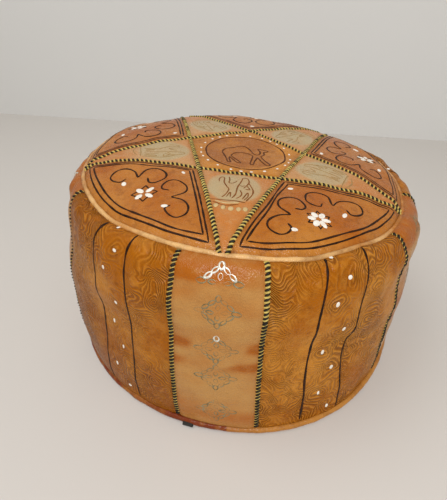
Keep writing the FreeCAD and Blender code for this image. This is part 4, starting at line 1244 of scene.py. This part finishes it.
print("wall:", len(wall_strokes), "lines and", len(wall_dots), "dots")

# %% One foil ornament
def loop(x, y, length, width, heading):
    """A pointed loop round a place of the ornament, in millimetres and degrees from upright."""
    t = np.linspace(0, 2 * np.pi, 33)
    along, across = np.cos(t) * length / 2, np.sin(t) * abs(np.sin(t)) ** 0.7 * width / 2
    sine, cosine = math.sin(math.radians(heading)), math.cos(math.radians(heading))
    return np.stack([x + along * sine + across * cosine, y + along * cosine - across * sine], -1)


ORNAMENT = []
for (up, tall, slim), (out, long, thin) in (((14, 7, 4.6), (16, 9, 4.8)), ((5, 6, 4), (6.5, 7, 3.5))):
    ORNAMENT += [loop(0, end * up, tall, slim, 0) for end in (1, -1)]
    ORNAMENT += [loop(end * out, 0, long, thin, 90) for end in (1, -1)]
for x, y in ((5.2, 9.8), (10.6, 5)):
    ORNAMENT += [loop(a * x, b * y, 8, 3.4, -48 * a * b) for a in (-1, 1) for b in (-1, 1)]
print("one ornament has", len(ORNAMENT), "loops")

# %% Foil ornaments of the plain panels
ORNAMENT_HEIGHTS = (0.190, 0.163, 0.119, 0.083, 0.034)
FOIL_R, FOIL_SHIFT = 0.207, 0.3
# Foil is left bright on the upper half of the top ornament and on one loop lower down, but for one panel.
# Its near-white colour there is partly a painted highlight, where the leather catches the lamp.
DULL_PANEL = 1
line_s = np.linspace(0.06, 1, 400)
line_height = wall_section(line_s)[1]
bright_foil_and_highlight_strokes, rubbed_strokes = [], []
for k in range(STAR_POINTS):
    for number, height in enumerate(ORNAMENT_HEIGHTS):
        s_middle = np.interp(-height, -line_height, line_s)
        for part, line in enumerate(ORNAMENT):
            if number == 0 and line[:, 1].mean() < -3:
                continue
            theta = math.radians(k * SECTOR + FOIL_SHIFT) + line[:, 0] * MM / FOIL_R
            s = np.clip(s_middle - line[:, 1] * MM / WALL_LENGTH, 0.01, 0.99)
            points, ups = on_wall(theta, s)
            left = np.clip(0.8 + 0.9 * ripples(points, 0.009, 500 + 7 * number + k), 0.25, 1.4)
            path, ups, width = brushed(points, ups, 520 + 20 * number + part)
            if k != DULL_PANEL and ((number == 0 and line[:, 1].mean() > 3) or (number == 2 and part == 0)):
                bright_foil_and_highlight_strokes.append((path, ups, width * left * 1.6))
            else:
                rubbed_strokes.append((path, ups, width * left))
# Silver foil is bright where it is left, and dull and brown where it is rubbed off. The bright foil's
# near-white is partly a painted highlight.
foil_with_painted_highlight = plain_finish("silver_foil", "#ebe7dd", "#c0b8a4", 0.003, 0.3, metallic=0.4)
rubbed_foil = plain_finish("rubbed_silver_foil", "#948a6a", "#6f5f3c", 0.004, 0.4, metallic=0.3)
for name, lines, finish in (("foil_ornaments_top", bright_foil_and_highlight_strokes, foil_with_painted_highlight),
                            ("foil_ornaments", rubbed_strokes, rubbed_foil)):
    drawn(name, lines, "leather_cream", finish, Width=0.0009, Thickness=0.0002)

# %% [markdown]
# ## The zip
# The zip's tapes are woven cotton, sewn in under the folded edges of the base, and one tape end is
# turned over in front of the foot. The weave shows as fine ribs across and along the tape; 0.5 mm
# threads are drawn 1 mm apart so that they show. The metal parts are the CAD model's own, in brass
# that has gone brown in patches.

# %% Woven tapes and the turned-over end
def woven(name, tone, other, thread):
    material, tree, shader = new_material(name)
    turn = (0, 0, math.radians(-ZIP_TURN))
    axes = add(tree, "ShaderNodeSeparateXYZ",
               {0: add(tree, "ShaderNodeMapping", {"Vector": place(tree), "Rotation": turn})}).outputs
    ribs = [calc(tree, "SINE", calc(tree, "MULTIPLY", axes[i], 2 * math.pi / thread)) for i in (0, 1)]
    cross = calc(tree, "MULTIPLY", *ribs)
    tones = mix(tree, span(tree, cross, -1.0, 1.0), tone, other)
    bump = add(tree, "ShaderNodeBump", {"Height": cross, "Strength": 0.5, "Distance": 0.0003})
    wire(tree, shader, {"Base Color": tones, "Normal": bump, "Roughness": 0.85})
    return material


TAPE_INNER, TAPE_OUTER, TAPE_HALF, TAPE_LEVEL, TAPE_THICK = 0.0029, 0.0169, 0.2003, 0.0051, 0.0008
tape_cloth = woven("woven_cotton_black", "#1b1a19", "#34312d", 0.001)
for side, turn in SIDES:
    along, across = np.meshgrid(np.linspace(-TAPE_HALF, TAPE_HALF, 200),
                                np.linspace(TAPE_INNER, TAPE_OUTER, 9), indexing="ij")
    x, y = turned(across, -along, turn)
    leather_sheet(f"zip_tape_cloth_{side}", f"zip_tape_{side}", "zip_cloth",
                  np.stack([x, y, np.full_like(x, TAPE_LEVEL)], -1), tape_cloth,
                  (TAPE_OUTER - TAPE_INNER, 2 * TAPE_HALF), thickness=TAPE_THICK)
TAB_WIDE, TAB_OUT, TAB_RADIUS, TAB_LEVEL, TAB_ROWS = 0.011, 0.2108, 0.0019, 0.0003, 8
bend = np.linspace(-np.pi / 2, np.pi / 2, 9)
tab_out = TAB_OUT + np.r_[0, 0.0008, 0.0012 + TAB_RADIUS * np.cos(bend), 0.0008, 0]
tab_level = np.r_[TAB_LEVEL, TAB_LEVEL, TAB_LEVEL + TAB_RADIUS * (1 + np.sin(bend)), 0.0043, 0.0045]
wide = np.linspace(-0.5, 0.5, TAB_ROWS)[:, None] * TAB_WIDE
x, y = turned(*np.broadcast_arrays(wide, tab_out[None, :]), ZIP_TURN)
tab_run = np.hypot(np.diff(tab_out), np.diff(tab_level)).sum()
leather_sheet("zip_end_cloth", "zip_end_tab", "zip_cloth",
              np.stack([x, y, np.broadcast_to(tab_level, x.shape)], -1), tape_cloth, thickness=TAPE_THICK)
print(f"zip: tapes {TAPE_HALF * 2000:.0f} mm long, end turned over {tab_run * 1000:.0f} mm")

# %% Brass of the zip
brass = plain_finish("aged_brass", "#b8934c", "#7a5a2a", 0.0025, 0.38, metallic=1.0, bump_height=0.0001)
BRASS_PARTS = ("zip_teeth_right", "zip_teeth_left", "zip_top_stops", "zip_bottom_stop", "zip_slider",
               "zip_pull")
for name in BRASS_PARTS:
    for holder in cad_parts[name].material_slots:
        holder.material = brass
print("brass on", BRASS_PARTS)

# %% [markdown]
# ## Camera, floor and light
# The camera stands where the object is seen as in its picture: above the front edge, looking down
# by 35 degrees with a wide lens. A pale floor and backdrop and soft lamps show the leather's colours
# as they are written.

# %% Camera
def look(yaw, pitch, roll):
    """Camera axes for a view along +Y turned by yaw, down by pitch, and rolled."""
    yaw, pitch, roll = (math.radians(a) for a in (yaw, pitch, roll))
    ahead = Vector((math.sin(yaw) * math.cos(pitch), math.cos(yaw) * math.cos(pitch), -math.sin(pitch)))
    right = Vector((math.cos(yaw), -math.sin(yaw), 0))
    down = ahead.cross(right)
    right, down = (math.cos(roll) * right + math.sin(roll) * down,
                   math.cos(roll) * down - math.sin(roll) * right)
    return Matrix((right, -down, -ahead)).transposed()


FOCAL_PIXELS, PICTURE_PIXELS, SENSOR = 406.1, 500, 36
CAMERA_PLACE, CAMERA_TURNS = (0.0349, -0.4476, 0.3990), (-7.29, 35.12, -1.14)
camera_data = bpy.data.cameras.new("camera")
camera_data.lens = FOCAL_PIXELS / PICTURE_PIXELS * SENSOR
camera_data.sensor_width = SENSOR
camera = put("camera", camera_data)
camera.matrix_world = Matrix.Translation(CAMERA_PLACE) @ look(*CAMERA_TURNS).to_4x4()
bpy.context.scene.camera = camera
print("lens:", round(camera_data.lens, 1), "mm")

# %% Floor, backdrop and lamps
STAGE_HALF = 3.0


def stage_plane(name, centre, turn, tone):
    corners = [(x * STAGE_HALF, y * STAGE_HALF, 0) for x, y in ((-1, -1), (1, -1), (1, 1), (-1, 1))]
    plane = mesh_object(name, corners, [(0, 1, 2, 3)])
    plane.matrix_world = Matrix.Translation(centre) @ Matrix.Rotation(math.radians(turn), 4, "X")
    material, tree, shader = new_material(name + "_paint")
    wire(tree, shader, {"Base Color": tone, "Roughness": 0.7})
    plane.data.materials.append(material)


def soft_lamp(name, stand, target, size, watts):
    lamp_data = bpy.data.lights.new(name, "AREA")
    lamp_data.shape = "DISK"
    lamp_data.size = size
    lamp_data.energy = watts
    aim = (Vector(target) - Vector(stand)).to_track_quat("-Z", "Y")
    put(name, lamp_data).matrix_world = Matrix.Translation(stand) @ aim.to_matrix().to_4x4()


stage_plane("studio_floor", (0, 0, -0.0005), 0, "#cdc8c2")
stage_plane("studio_backdrop", (0, 0.75, 2.5), 90, "#d6d5d2")
soft_lamp("window_lamp", (0.35, -1.55, 1.55), (0, 0, 0.12), 0.4, 30)
soft_lamp("fill_lamp", (-0.8, -0.2, 1.9), (0, 0, 0.1), 1.2, 9)
world = bpy.data.worlds.new("studio_air")
world.use_nodes = True
air = world.node_tree.nodes["Background"]
air.inputs["Color"].default_value = colour("#f0ece6")
air.inputs["Strength"].default_value = 0.45
bpy.context.scene.world = world
bpy.context.scene.view_settings.view_transform = "Standard"
